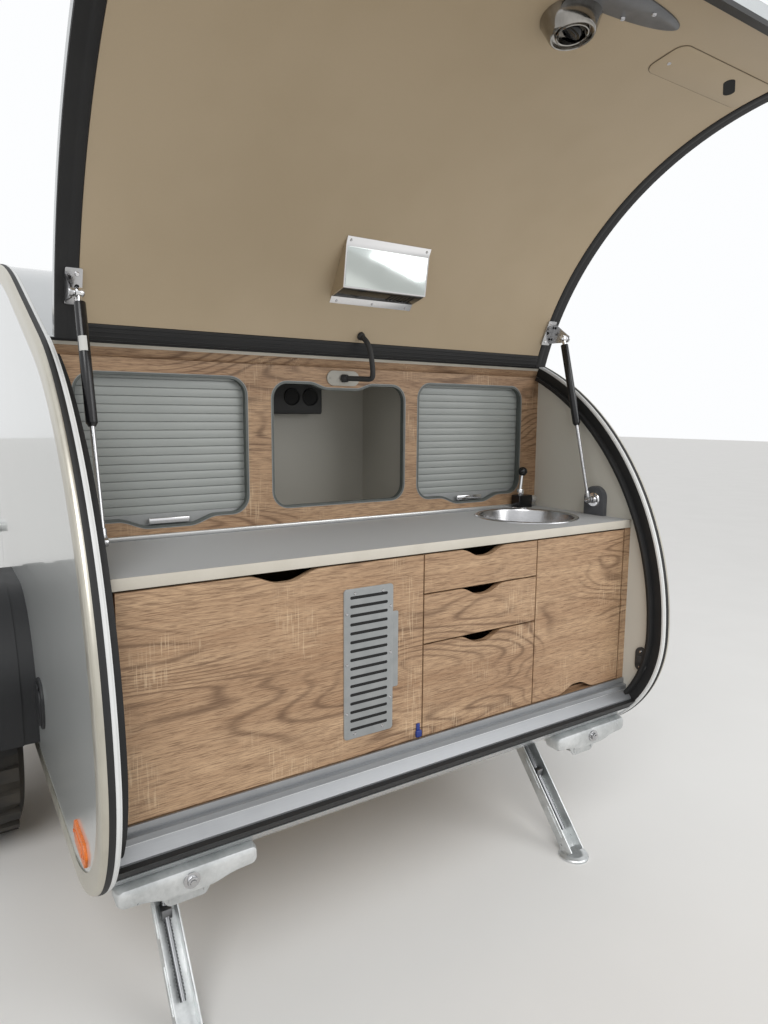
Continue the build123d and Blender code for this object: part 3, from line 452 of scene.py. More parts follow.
@dataclass(frozen=True)
class OakBoard(Finish):
    """Sawn-oak laminate: fine pores along the grain, cathedral figures and pale saw marks across it."""

    name: str
    light: Colour
    middle: Colour
    dark: Colour
    tick: Colour

    def paint(self, shade: Shade) -> None:
        """Fills a new material's shader."""
        broad = shade.noise(shade.place((1.0, 0.20, 1.6)), 5.0, 3.0, 0.5)
        band = shade.noise(shade.place((1.0, 0.09, 1.0)), 24.0, 4.0, 0.65, 0.2)
        fibre = shade.noise(shade.place((1.0, 0.032, 1.0)), 860.0, 2.0, 0.7, 0.4)
        fleck = shade.noise(shade.place((1.0, 0.045, 1.0)), 460.0, 2.0, 0.6, 0.5)
        strand = shade.noise(shade.place((1.0, 0.035, 1.0)), 130.0, 3.0, 0.6, 0.3)
        tone = broad.step(0.34, 0.66) * 0.40 + band.step(0.32, 0.68) * 0.35 + strand.step(0.35, 0.65) * 0.25
        wood = shade.mix(tone, self.light, self.middle)
        figure = shade.noise(shade.place((1.0, 0.28, 1.5)), 3.1, 2.0, 0.4, 0.35)
        rings = (figure * 190.0).sine() * 0.5 + 0.5
        region = shade.noise(shade.place((1.0, 0.6, 1.4)), 3.3, 1.0).step(0.44, 0.60)
        lines = rings ** 4.0 * region * (0.45 + fleck)
        wood = shade.mix(lines * 0.75, wood, self.dark)
        wood = shade.mix(fibre.step(0.46, 0.62) * 0.50, wood, self.dark)
        wood = shade.mix(fleck.step(0.53, 0.64) * 0.52, wood, self.dark)
        patch = shade.noise(shade.place((1.0, 1.1, 0.9)), 8.0, 1.0).step(0.56, 0.70)
        upright = shade.noise(shade.place((1.0, 1.0, 0.05)), 330.0, 1.0).step(0.55, 0.66)
        level = shade.noise(shade.place((1.0, 0.08, 1.0)), 300.0, 1.0).step(0.55, 0.66)
        wood = shade.mix(patch * (upright * 0.42 + level * 0.18), wood, self.tick)
        shade.feed("Base Color", wood)
        shade.feed("Roughness", fibre * 0.16 + 0.46)
        shade.bump(fibre * 0.6 - fleck * 0.4, 0.00025, 0.5)


@dataclass(frozen=True)
class GreyTop(Finish):
    """Grey worktop laminate with a satin sheen and faint speckle."""

    name: str
    colour: Colour
    second: Colour

    def paint(self, shade: Shade) -> None:
        """Fills a new material's shader."""
        speckle = shade.noise(shade.place(), 420.0, 2.0)
        cloud = shade.noise(shade.place(), 6.0, 4.0)
        shade.feed("Base Color", shade.mix(speckle * 0.5 + cloud * 0.5, self.second, self.colour))
        shade.feed("Roughness", cloud * 0.12 + 0.22)
        shade.bump(speckle, 0.0001, 0.3)


@dataclass(frozen=True)
class Skin(Finish):
    """Smooth laminate or paint with gentle clouds, such as the hatch's lining."""

    name: str
    colour: Colour
    second: Colour
    rough: float = 0.45
    cloud: float = 2.2
    coat: float = 0.0

    def paint(self, shade: Shade) -> None:
        """Fills a new material's shader."""
        cloud = shade.noise(shade.place(), self.cloud, 3.0)
        fine = shade.noise(shade.place(), 300.0, 2.0)
        shade.feed("Base Color", shade.mix(cloud.step(0.3, 0.7) * 0.7 + fine * 0.3, self.colour, self.second))
        shade.feed("Roughness", cloud * 0.1 + (self.rough - 0.05))
        shade.feed("Coat Weight", self.coat)
        shade.bump(fine, 0.00008, 0.3)


@dataclass(frozen=True)
class Lens(Finish):
    """Coloured lamp plastic with small prisms."""

    name: str
    colour: Colour
    prism: float = 260.0

    def paint(self, shade: Shade) -> None:
        """Fills a new material's shader."""
        prisms = shade.cells(shade.place(), self.prism)
        deep = tuple(part * 0.7 for part in self.colour)
        shade.feed("Base Color", shade.mix(prisms.step(0.1, 0.6), self.colour, deep))
        shade.feed("Roughness", prisms * 0.1 + 0.30)
        shade.feed("Coat Weight", 0.2)
        shade.bump(prisms, 0.0006, 0.6)


@dataclass(frozen=True)
class Pane(Finish):
    """Tinted window plastic."""

    name: str
    tint: Colour

    def paint(self, shade: Shade) -> None:
        """Fills a new material's shader."""
        haze = shade.noise(shade.place(), 5.0, 2.0)
        shade.feed("Base Color", self.tint)
        shade.feed("Roughness", haze * 0.05 + 0.03)
        shade.feed("Transmission Weight", 0.75)
        shade.feed("Coat Weight", 0.5)


@dataclass(frozen=True)
class Cloth(Finish):
    """Woven ticking of the mattress."""

    name: str
    colour: Colour
    thread: Colour

    def paint(self, shade: Shade) -> None:
        """Fills a new material's shader."""
        along, across, _ = shade.parts(shade.place())
        weave = (along * 1800.0).sine() * (across * 1800.0).sine() * 0.5 + 0.5
        cloud = shade.noise(shade.place(), 20.0, 4.0)
        shade.feed("Base Color", shade.mix(weave * 0.6 + cloud * 0.4, self.thread, self.colour))
        shade.feed("Roughness", 0.85)
        shade.feed("Sheen Weight", 0.3)
        shade.bump(weave, 0.0003, 0.5)


SILVER = linear(168, 172, 173)
ENAMEL = Enamel("body_enamel", SILVER, linear(152, 156, 158))
OUTER = Enamel("hatch_enamel", SILVER, linear(152, 156, 158), 0.8)
WALL_BOARD = WallBoard("wall_board", linear(206, 209, 207), linear(206, 203, 193))
OAK = OakBoard("oak_board", linear(197, 165, 131), linear(158, 124, 93), linear(98, 71, 49),
               linear(216, 190, 157))
TOP = GreyTop("grey_top", linear(134, 136, 139), linear(122, 124, 127))
ZINC = Zinc()
PANE = Pane("tinted_pane", linear(60, 64, 66))
TICKING = Cloth("ticking", linear(170, 168, 164), linear(126, 126, 128))
LINING = Skin("cream_lining", linear(182, 164, 137), linear(172, 154, 126), 0.5)
PALE_BOARD = Skin("pale_board", linear(176, 173, 164), linear(165, 162, 153), 0.5)
LABEL = Skin("label_paper", linear(214, 214, 210), linear(200, 200, 196), 0.6)
PLY = Skin("birch_ply", linear(204, 180, 142), linear(186, 158, 118), 0.55, 12.0)
SATIN = Metal("satin_aluminium", linear(166, 168, 170), linear(140, 142, 145), 0.40, metallic=0.70)
BRIGHT = Metal("bright_aluminium", linear(226, 227, 226), linear(200, 201, 201), 0.32, metallic=0.8)
EDGING = Skin("pale_edging", linear(206, 200, 188), linear(194, 188, 175), 0.4, 8.0)
SATIN_EDGE = Metal("edge_aluminium", linear(216, 212, 200), linear(186, 181, 168), 0.34, Along.Z, 0.3, 60.0)
SLAT = Skin("slat_grey", linear(160, 164, 161), linear(148, 152, 150), 0.36)
PLATE = Skin("plate_grey", linear(150, 152, 152), linear(138, 141, 141), 0.4, 30.0)
DARK_PLATE = Skin("dark_plate", linear(86, 88, 92), linear(74, 76, 80), 0.35, 30.0, 0.2)
CHROME = Metal("chrome", linear(226, 226, 228), linear(198, 199, 203), 0.13, Along.Y, 1.0, 30.0, 0.00002)
STEEL = Metal("brushed_steel", linear(206, 206, 207), linear(170, 170, 172), 0.24, Along.X, 0.2, 200.0)
MIRROR = Metal("mirror_face", linear(214, 220, 217), linear(204, 211, 208), 0.14, Along.Y, 1.0, 4.0, 0.0)
BLACK_METAL = Moulded("black_lacquer", linear(14, 14, 16), linear(46, 46, 48), 0.24, 300.0, 0.00005, 0.1)
SHADOW = Skin("shadow_line", linear(112, 100, 84), linear(100, 90, 76), 0.6)
WHITE_LINE = Skin("white_line", linear(226, 227, 226), linear(214, 215, 214), 0.34, 8.0)
SPINDLE = Metal("dark_spindle", linear(150, 151, 153), linear(108, 109, 111), 0.34, Along.X, 0.4, 120.0)
BLACK = Moulded("black_plastic", linear(26, 27, 29), linear(70, 69, 66), 0.46)
RUBBER = Moulded("black_rubber", linear(18, 18, 19), linear(48, 47, 45), 0.62, 500.0)
GRAINED = Moulded("grained_black", linear(13, 14, 17), linear(36, 36, 37), 0.55, 1100.0, 0.0005, 0.2)
ROD = Metal("strut_steel", linear(70, 71, 73), linear(50, 51, 54), 0.20, Along.Z, 0.2, 160.0, 0.00002)
CONE = Metal("cone_chrome", linear(206, 203, 198), linear(84, 79, 73), 0.10, Along.Z, 0.12, 90.0, 0.00002)
TREAD = Moulded("tyre_rubber", linear(24, 24, 25), linear(84, 77, 66), 0.78, 420.0, 0.0005, 0.5)
BLUE = Moulded("blue_plastic", linear(24, 46, 120), linear(44, 66, 140), 0.4)
# Near-black painted shade: thin dark plates and discs in this finish stand in for the shade inside holes,
# slots and wells.
PAINTED_HOLE_SHADE = Moulded("dark_gap", linear(10, 10, 10), linear(24, 24, 24), 0.8)
ORANGE = Lens("orange_lens", linear(244, 122, 2))
BAND = Skin("opening_band", linear(92, 97, 94), linear(80, 85, 82), 0.4, 20.0)
SHELF = Metal("dark_mirror", linear(96, 97, 98), linear(78, 79, 80), 0.2, Along.Y, 1.0, 6.0, 0.0)
RED = Lens("red_lens", linear(150, 18, 16), 180.0)
SMOKED = Skin("smoked_lid", linear(52, 53, 55), linear(44, 45, 47), 0.18, 3.0, 0.8)


class Form:
    """A mesh under construction, in metres in the trailer's frame."""

    def __init__(self) -> None:
        """Starts an empty mesh."""
        self.mesh = bmesh.new()

    def soften(self, vertices: Iterable[bmesh.types.BMVert], radius: float, segments: int = 2,
               sharp: float = 0.6) -> None:
        """Rounds the sharp edges among some vertices.

        Args:
            vertices: Vertices of the part to round.
            radius: Width of the rounding in metres.
            segments: Facets across it.
            sharp: Least angle between faces, in radians, that counts as an edge.
        """
        chosen = set(vertices)
        edges = [
            edge for vertex in chosen for edge in vertex.link_edges
            if edge.other_vert(vertex) in chosen and len(edge.link_faces) == 2
            and edge.calc_face_angle(0.0) > sharp
        ]
        if radius > 0 and edges:
            bmesh.ops.bevel(self.mesh, geom=list(set(edges)), offset=radius, offset_type="OFFSET",
                            segments=segments, profile=0.5, affect="EDGES", material=-1, clamp_overlap=True)

    def box(self, low: Triple, high: Triple, edge: float = 0.0, segments: int = 2,
            frame: Matrix | None = None) -> "Form":
        """Adds a box between two corners.

        Args:
            low: Lowest corner.
            high: Highest corner.
            edge: Rounding of its edges.
            segments: Facets of the rounding.
            frame: Where the corners are given, or None for the trailer's frame.

        Returns:
            This form.
        """
        size = Vector(high) - Vector(low)
        place = Matrix.Translation((Vector(low) + Vector(high)) / 2) @ Matrix.Diagonal((*size, 1.0))
        made = bmesh.ops.create_cube(self.mesh, size=1.0, matrix=(frame or Matrix()) @ place)
        self.soften(made["verts"], edge, segments)
        return self

    def drum(self, start: Triple, end: Triple, radius: float, tip: float | None = None,
             sides: int = 32, edge: float = 0.0, frame: Matrix | None = None) -> "Form":
        """Adds a round bar or cone between two points.

        Args:
            start: Centre of the first end.
            end: Centre of the second end.
            radius: Radius at the start.
            tip: Radius at the end, or None for the same.
            sides: Facets round it.
            edge: Rounding of its end edges.
            frame: Where the points are given, or None for the trailer's frame.

        Returns:
            This form.
        """
        first, second = Vector(start), Vector(end)
        line = second - first
        turn = Vector((0, 0, 1)).rotation_difference(line).to_matrix().to_4x4()
        place = Matrix.Translation((first + second) / 2) @ turn
        made = bmesh.ops.create_cone(self.mesh, cap_ends=True, segments=sides, radius1=radius,
                                     radius2=radius if tip is None else tip, depth=line.length,
                                     matrix=(frame or Matrix()) @ place)
        self.soften(made["verts"], edge, 2, 0.9)
        return self

    def ball(self, centre: Triple, radius: float, sides: int = 24, frame: Matrix | None = None) -> "Form":
        """Adds a ball."""
        place = (frame or Matrix()) @ Matrix.Translation(Vector(centre))
        bmesh.ops.create_uvsphere(self.mesh, u_segments=sides, v_segments=sides // 2, radius=radius,
                                  matrix=place)
        return self

    def turned(self, profile: Sequence[tuple[float, float]], centre: Triple, axis: Triple,
               sides: int = 48) -> "Form":
        """Spins a closed section round an axis.

        Args:
            profile: Places along the axis and radii, in order round the section.
            centre: Point on the axis at place 0.
            axis: Direction of the axis.
            sides: Facets round it.

        Returns:
            This form.
        """
        line = Vector(axis).normalized()
        out = line.orthogonal().normalized()
        middle = Vector(centre)
        rim = [self.mesh.verts.new(middle + line * place + out * radius) for place, radius in profile]
        edges = [self.mesh.edges.new((a, b)) for a, b in zip(rim, rim[1:] + rim[:1])]
        bmesh.ops.spin(self.mesh, geom=rim + edges, cent=middle, axis=line, angle=math.tau, steps=sides,
                       use_merge=True, use_duplicate=False)
        bmesh.ops.remove_doubles(self.mesh, verts=self.mesh.verts[:], dist=1e-6)
        bmesh.ops.recalc_face_normals(self.mesh, faces=self.mesh.faces[:])
        return self

    def plate(self, corners: Sequence[tuple[float, float]], thick: float, frame: Matrix,
              radius: float = 0.0, edge: float = 0.0, segments: int = 5, hollow: float = 0.0) -> "Form":
        """Adds a flat plate with rounded corners, or with hollow set only its rim.

        Args:
            corners: Corners in the frame's XY plane, in order.
            thick: Thickness along the frame's Z.
            frame: The plate's place; its back lies on the frame's XY plane.
            radius: Rounding of the corners.
            edge: Rounding of the front edge.
            segments: Facets of each corner.
            hollow: Width of the rim, or 0 for a whole plate.

        Returns:
            This form.
        """
        verts = [self.mesh.verts.new(frame @ Vector((x, y, 0.0))) for x, y in corners]
        face = self.mesh.faces.new(verts)
        if radius > 0:
            before = set(self.mesh.faces) - {face}
            bmesh.ops.bevel(self.mesh, geom=verts, offset=radius, offset_type="OFFSET", segments=segments,
                            profile=0.5, affect="VERTICES", material=-1, clamp_overlap=True)
            face = max(set(self.mesh.faces) - before, key=lambda found: found.calc_area())
        normal = frame.to_3x3() @ Vector((0, 0, 1))
        face.normal_update()
        if face.normal.dot(normal) < 0:
            face.normal_flip()
        if hollow > 0:
            made = bmesh.ops.inset_region(self.mesh, faces=[face], thickness=hollow, use_boundary=True,
                                          use_even_offset=True)
            bmesh.ops.delete(self.mesh, geom=[face], context="FACES_ONLY")
            faces = made["faces"]
        else:
            faces = [face]
        result = bmesh.ops.extrude_face_region(self.mesh, geom=faces, use_keep_orig=True)
        moved = [g for g in result["geom"] if isinstance(g, bmesh.types.BMVert)]
        bmesh.ops.translate(self.mesh, verts=moved, vec=normal.normalized() * thick)
        base = {v for f in faces for v in f.verts}
        bmesh.ops.reverse_faces(self.mesh, faces=faces)
        if edge > 0:
            top = set(moved)
            edges = [e for v in top for e in v.link_edges
                     if e.other_vert(v) in top and any(w in base for f in e.link_faces for w in f.verts)]
            bmesh.ops.bevel(self.mesh, geom=list(set(edges)), offset=edge, offset_type="OFFSET", segments=2,
                            profile=0.5, affect="EDGES", material=-1, clamp_overlap=True)
        return self

    def patch(self, start: Triple, end: Triple, radius: float, toward: Triple, turn: float) -> "Form":
        """Adds a thin label wrapped part of the way round a bar.

        Args:
            start: Point on the bar's axis at the label's first edge.
            end: Point on the axis at its other edge.
            radius: Radius of the label.
            toward: Direction that its middle faces.
            turn: Angle that it covers, in radians.

        Returns:
            This form.
        """
        first, second = Vector(start), Vector(end)
        axis = (second - first).normalized()
        out = Vector(toward) - axis * Vector(toward).dot(axis)
        out = Matrix.Rotation(-turn / 2, 3, axis) @ out.normalized()
        section = [first + out * radius, second + out * radius, second + out * (radius - 0.0012),
                   first + out * (radius - 0.0012)]
        verts = [self.mesh.verts.new(place) for place in section]
        face = self.mesh.faces.new(verts)
        made = bmesh.ops.spin(self.mesh, geom=[*verts, *face.edges, face], cent=first, axis=axis, angle=turn,
                              steps=10, use_merge=False, use_duplicate=False)
        bmesh.ops.contextual_create(self.mesh, geom=made["geom_last"])
        bmesh.ops.recalc_face_normals(self.mesh, faces=self.mesh.faces[:])
        return self

    def lay(self, frame: Matrix, radius: float) -> "Form":
        """Bends a flat form about its frame's X axis so that it follows a hollow round surface.

        Args:
            frame: Frame whose XY plane the form was made on.
            radius: Radius of the surface.

        Returns:
            This form.
        """
        back = frame.inverted()
        for vert in self.mesh.verts:
            place = back @ vert.co
            place.z += place.y**2 / (2.0 * radius)
            vert.co = frame @ place
        return self

    def mirrored(self) -> "Form":
        """A copy of this form on the trailer's other side."""
        twin = Form()
        twin.mesh = self.mesh.copy()
        bmesh.ops.scale(twin.mesh, vec=(1, -1, 1), verts=twin.mesh.verts[:])
        bmesh.ops.reverse_faces(twin.mesh, faces=twin.mesh.faces[:])
        return twin

    def move(self, matrix: Matrix) -> "Form":
        """Transforms the whole form and returns it."""
        bmesh.ops.transform(self.mesh, matrix=matrix, verts=self.mesh.verts[:])
        return self

    def piece(self, name: str, body: str, finish: Finish, slot: str,
              replaces: Sequence[str] = (), smooth: float = 35.0) -> bpy.types.Object:
        """Turns the form into a finished piece that rides on a body.

        Args:
            name: The piece's name.
            body: Body that it moves with.
            finish: Its finish.
            slot: Material slot of the record; not used.
            replaces: CAD nodes that it stands for.
            smooth: Greatest angle in degrees that still shades smooth.

        Returns:
            The new object.
        """
        mesh = bpy.data.meshes.new(name)
        self.mesh.to_mesh(mesh)
        self.mesh.free()
        mesh.shade_smooth()
        mesh.set_sharp_from_angle(angle=math.radians(smooth))
        mesh.materials.append(finish.material())
        thing = bpy.data.objects.new(name, mesh)
        bpy.context.scene.collection.objects.link(thing)
        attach(thing, body)
        if replaces:
            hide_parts(*replaces)
        LOG.info("piece %s on %s: %d faces", name, body, len(mesh.polygons))
        return thing


def pair(form: Form, name: str, body: str, finish: Finish, slot: str, replaces: str = "",
         smooth: float = 35.0) -> None:
    """Makes a left piece and its mirror image.

    Args:
        name: Base name; the side's word is added.
        form: The left form.
        body: Body name, where {side} stands for the side's word.
        finish: Its finish.
        slot: Material slot of the record.
        replaces: CAD node, where {side} stands for the side's word, or nothing.
        smooth: Greatest angle in degrees that still shades smooth.
    """
    twin = form.mirrored()
    for side, shape in ((Side.LEFT, form), (Side.RIGHT, twin)):
        nodes = [replaces.format(side=side.word)] if replaces else []
        shape.piece(f"{name}_{side.word}", body.format(side=side.word), finish, slot, nodes, smooth)


def facing(origin: Triple, x_axis: Triple, z_axis: Triple) -> Matrix:
    """Frame with a given origin, X axis and outward Z axis."""
    z = Vector(z_axis).normalized()
    x = Vector(x_axis).normalized()
    y = z.cross(x)
    matrix = Matrix((x, y, z)).transposed().to_4x4()
    matrix.translation = Vector(origin)
    return matrix


def rear(x: float, y: float, z: float) -> Matrix:
    """Frame on an upright board that faces the rear: its X runs to the right wall, its Y up."""
    return facing((x, y, z), (0, -1, 0), (-1, 0, 0))


def nudge(frame: Matrix, x: float, y: float, z: float) -> Matrix:
    """A frame moved along its own axes.

    Args:
        frame: The frame to start from.
        x: Move along its X in metres.
        y: Move along its Y.
        z: Move along its Z.

    Returns:
        The moved frame.
    """
    return frame @ Matrix.Translation((x, y, z))


def wall_frame(place: tuple[float, float]) -> Matrix:
    """Frame on the left wall's outer face, with Z outward, at an X and a Z."""
    return facing((place[0], HALF_WIDTH, place[1]), (-1, 0, 0), (0, 1, 0))


def inner_frame(place: tuple[float, float]) -> Matrix:
    """Frame on the left wall's inner face, with Z into the galley, at an X and a Z."""
    return facing((place[0], INNER, place[1]), (1, 0, 0), (0, -1, 0))


def rectangle(wide: float, high: float) -> list[tuple[float, float]]:
    """Corners of a rectangle about the origin."""
    return [(-wide / 2, -high / 2), (wide / 2, -high / 2), (wide / 2, high / 2), (-wide / 2, high / 2)]


def rounded(wide: float, high: float, radius: float, steps: int = 8) -> list[tuple[float, float]]:
    """Corners of a rectangle with rounded corners about the origin, anticlockwise from the right side."""
    found = []
    for quarter, (x, y) in enumerate(((1, 1), (-1, 1), (-1, -1), (1, -1))):
        middle_x, middle_y = x * (wide / 2 - radius), y * (high / 2 - radius)
        for index in range(steps + 1):
            angle = math.pi / 2 * (quarter + index / steps)
            found.append((middle_x + radius * math.cos(angle), middle_y + radius * math.sin(angle)))
    return found


def oval(half_wide: float, half_high: float, steps: int = 64) -> list[tuple[float, float]]:
    """Corners of an ellipse about the origin."""
    turns = [math.tau * index / steps for index in range(steps)]
    return [(half_wide * math.cos(turn), half_high * math.sin(turn)) for turn in turns]


@dataclass(frozen=True)
class SideOutline:
    """The body's side outline: radius in metres and turn in degrees, or 0 and a straight length."""

    bottom: float = 0.345
    start_x: float = -1.3445
    runs: tuple[tuple[float, float], ...] = (
        (0.355, 90.0),
        (0.840, 67.4),
        (0.0, 0.450),
        (1.600, 22.6),
        (1.932, 35.0),
        (0.759, 55.0),
    )

    def sweep(self, section: Sequence[tuple[float, float]], skip: float = 0.0, until: float = 360.0,
              whole: bool = False, fine: float = 2.5) -> Form:
        """Sweeps a section along the outline.

        Args:
            section: Inset and Y of each corner.
            skip: Turn in degrees, from the rear bottom corner, at which the sweep starts.
            until: Turn at which it ends.
            whole: Sweeps the closed loop with its floor line.
            fine: Degrees in a facet.

        Returns:
            A new form.
        """
        form = Form()
        mesh = form.mesh
        heading = math.pi
        point = Vector((self.start_x, 0, self.bottom))
        turned = 0.0
        geom: list = []
        runs = list(self.runs)
        if whole:
            runs.append((-1.0, 90.0))
        started = False
        for radius, turn in runs:
            if radius < 0:
                radius = point.z - self.bottom
            if radius == 0:
                step = Vector((math.cos(heading), 0, math.sin(heading))) * turn
                if started and turned < until:
                    rim = [g for g in geom if isinstance(g, bmesh.types.BMEdge)]
                    made = bmesh.ops.extrude_edge_only(mesh, edges=rim)
                    moved = [g for g in made["geom"] if isinstance(g, bmesh.types.BMVert)]
                    bmesh.ops.translate(mesh, verts=moved, vec=step)
                    geom = moved + [g for g in made["geom"] if isinstance(g, bmesh.types.BMEdge)
                                    and g.verts[0] in moved and g.verts[1] in moved]
                point = point + step
                continue
            right = heading - math.pi / 2
            centre = point + Vector((math.cos(right), 0, math.sin(right))) * radius
            low = max(skip - turned, 0.0)
            high = min(until - turned, turn)
            if low < turn and high > 0:
                if not started:
                    lead = Matrix.Rotation(math.radians(low), 4, (0, 1, 0))
                    out = point - centre
                    out = lead @ out
                    inward = (out * -1).normalized()
                    verts = [mesh.verts.new(centre + out + inward * inset + Vector((0, y, 0)))
                             for inset, y in section]
                    edges = [mesh.edges.new((a, b)) for a, b in zip(verts, verts[1:] + verts[:1])]
                    if not whole:
                        mesh.faces.new(verts)
                    geom = verts + edges
                    started = True
                sweep = high - low
                steps = max(2, math.ceil(sweep / fine * max(1.0, math.sqrt(radius))))
                made = bmesh.ops.spin(mesh, geom=geom, cent=centre, axis=(0, 1, 0), angle=math.radians(sweep),
                                      steps=steps, use_merge=False, use_duplicate=False)
                geom = made["geom_last"]
            right_turn = Matrix.Rotation(math.radians(turn), 4, (0, 1, 0))
            point = centre + right_turn @ (point - centre)
            heading -= math.radians(turn)
            turned += turn
        if whole:
            edges = [g for g in geom if isinstance(g, bmesh.types.BMEdge)]
            made = bmesh.ops.extrude_edge_only(mesh, edges=edges)
            moved = [g for g in made["geom"] if isinstance(g, bmesh.types.BMVert)]
            bmesh.ops.translate(mesh, verts=moved, vec=(self.start_x - point.x, 0, 0))
            bmesh.ops.remove_doubles(mesh, verts=mesh.verts[:], dist=1e-5)
        else:
            last = [g for g in geom if isinstance(g, bmesh.types.BMVert)]
            rim = [g for g in geom if isinstance(g, bmesh.types.BMEdge)]
            bmesh.ops.contextual_create(mesh, geom=last + rim)
        bmesh.ops.recalc_face_normals(mesh, faces=mesh.faces[:])
        return form


OUTLINE = SideOutline()
OPENING = Matrix.Translation(HINGE) @ Matrix.Rotation(OPEN_ANGLE, 4, (0, 1, 0)) @ Matrix.Translation(-HINGE)


def on_hatch(distance: float, y: float, inset: float = 0.028) -> Matrix:
    """Frame on the open hatch's lining.

    Args:
        distance: Arc length from the hinge along the lining.
        y: Place across the trailer.
        inset: Depth under the outer skin.

    Returns:
        Frame with X along Y, Y towards the hinge and Z out of the lining.
    """
    big, small = 0.840, 0.355
    level = OUTLINE.bottom + small
    middle = OUTLINE.start_x - small + big
    angle = math.atan2(HINGE.z - level, HINGE.x - middle) + distance / (big - 0.028)
    radius = big
    if angle > math.pi:
        angle = math.pi + (angle - math.pi) * (big - 0.028) / (small - 0.028)
        radius = small
        middle = OUTLINE.start_x
    out = Vector((math.cos(angle), 0, math.sin(angle)))
    place = Vector((middle, y, level)) + out * (radius - inset)
    return OPENING @ facing(place, (0, 1, 0), -out)


def screw(form: Form, frame: Matrix, radius: float = 0.004) -> None:
    """Adds a domed screw head with a cross recess to a form.

    Args:
        form: Form that gets the screw.
        frame: Its place; the head stands on the frame's XY plane.
        radius: Radius of the head.
    """
    form.drum((0, 0, 0), (0, 0, radius * 0.45), radius, radius * 0.72, 14, 0.0, frame)
    for wide, high in ((radius * 0.5, radius * 0.1), (radius * 0.1, radius * 0.5)):
        form.box((-wide, -high, radius * 0.4), (wide, high, radius * 0.5), frame=frame)


def hex_bolt(form: Form, frame: Matrix, radius: float = 0.010) -> None:
    """Adds a washer, a hexagon head and the bolt's domed end to a form.

    Args:
        form: Form that gets the bolt.
        frame: Its place; the washer lies on the frame's XY plane.
        radius: Radius over the head's corners.
    """
    form.drum((0, 0, 0), (0, 0, radius * 0.18), radius * 1.45, None, 28, 0.0004, frame)
    form.drum((0, 0, radius * 0.18), (0, 0, radius * 0.85), radius, None, 6, radius * 0.08, frame)
    form.drum((0, 0, radius * 0.8), (0, 0, radius * 1.05), radius * 0.6, radius * 0.5, 16, 0.0, frame)


@dataclass
class EdgeProfiles:
    """Aluminium edge trims, their rubber inserts and the seals round the rear opening."""

    flange: float = 0.042
    seal_start: float = 20.0
    seal_end: float = 157.4

    def build(self) -> None:
        """Makes every edge profile."""
        trim = (
            (self.flange, 0.7601), (self.flange, 0.7622), (self.flange - 0.002, 0.7630), (0.012, 0.7630),
            (0.0045, 0.7624), (0.0005, 0.7606), (-0.0020, 0.7575), (-0.0030, 0.7535), (-0.0030, 0.7508),
            (-0.0008, 0.7506), (-0.0002, 0.7601),
        )
        left = OUTLINE.sweep(trim, whole=True)
        right = left.mirrored()
        left.piece("edge_trim_left", BODY, SATIN_EDGE, "trim", ["edge_trims"])
        right.piece("edge_trim_right", BODY, SATIN_EDGE, "trim")
        slope = Vector((-0.9194, 0.0, -0.3933))
        rail = facing(HINGE - slope * 0.004, (0, -1, 0), slope)
        for name, low, high, finish, slot in (
                ("rail_oak", 0.0380, 0.0152, OAK, "front_board"),
                ("rail_line", 0.0152, 0.0070, EDGING, "trim"),
                ("rail_rubber", 0.0070, 0.0010, RUBBER, "seal")):
            strip = Form().box((-INSIDE, -low, -0.0024), (INSIDE, -high, 0.0010), 0.0004, 1, rail)
            strip.piece(name, BODY, finish, slot)
        insert = ((-0.0004, 0.7506), (-0.0034, 0.7504), (-0.0044, 0.7480), (-0.0046, 0.7448),
                  (-0.0044, 0.7416), (-0.0034, 0.7392), (-0.0004, 0.7390))
        pair(OUTLINE.sweep(insert, whole=True), "edge_rubber", BODY, RUBBER, "seal")
        bead = ((-0.0002, 0.7390), (-0.0030, 0.7388), (-0.0038, 0.7372), (-0.0038, 0.7342), (-0.0030, 0.7325),
                (-0.0002, 0.7322))
        pair(OUTLINE.sweep(bead, whole=True), "edge_bead", BODY, WHITE_LINE, "trim")
        lip = ((-0.001, 0.7322), (-0.001, 0.7288), (0.004, 0.7288), (0.004, 0.7301), (0.001, 0.7301))
        pair(OUTLINE.sweep(lip, self.seal_start, self.seal_end), "edge_lip", BODY, WHITE_LINE, "trim")
        # A thin black strip on the wall's inner face stands in for the dark of the narrow gap beside the
        # hatch: painted shade.
        lining = ((0.0042, 0.7301), (0.0042, 0.7284), (0.0320, 0.7284), (0.0320, 0.7301))
        pair(OUTLINE.sweep(lining, self.seal_start, self.seal_end), "edge_gutter", BODY, RUBBER, "seal")
        bulb = ((0.0299, 0.7300), (0.0299, 0.7160), (0.0303, 0.7130), (0.0320, 0.7112), (0.0350, 0.7106),
                (0.0380, 0.7112), (0.0405, 0.7130), (0.0412, 0.7160), (0.0412, 0.7300))
        pair(OUTLINE.sweep(bulb, 26.0, 134.0), "opening_seal", BODY, RUBBER, "seal")


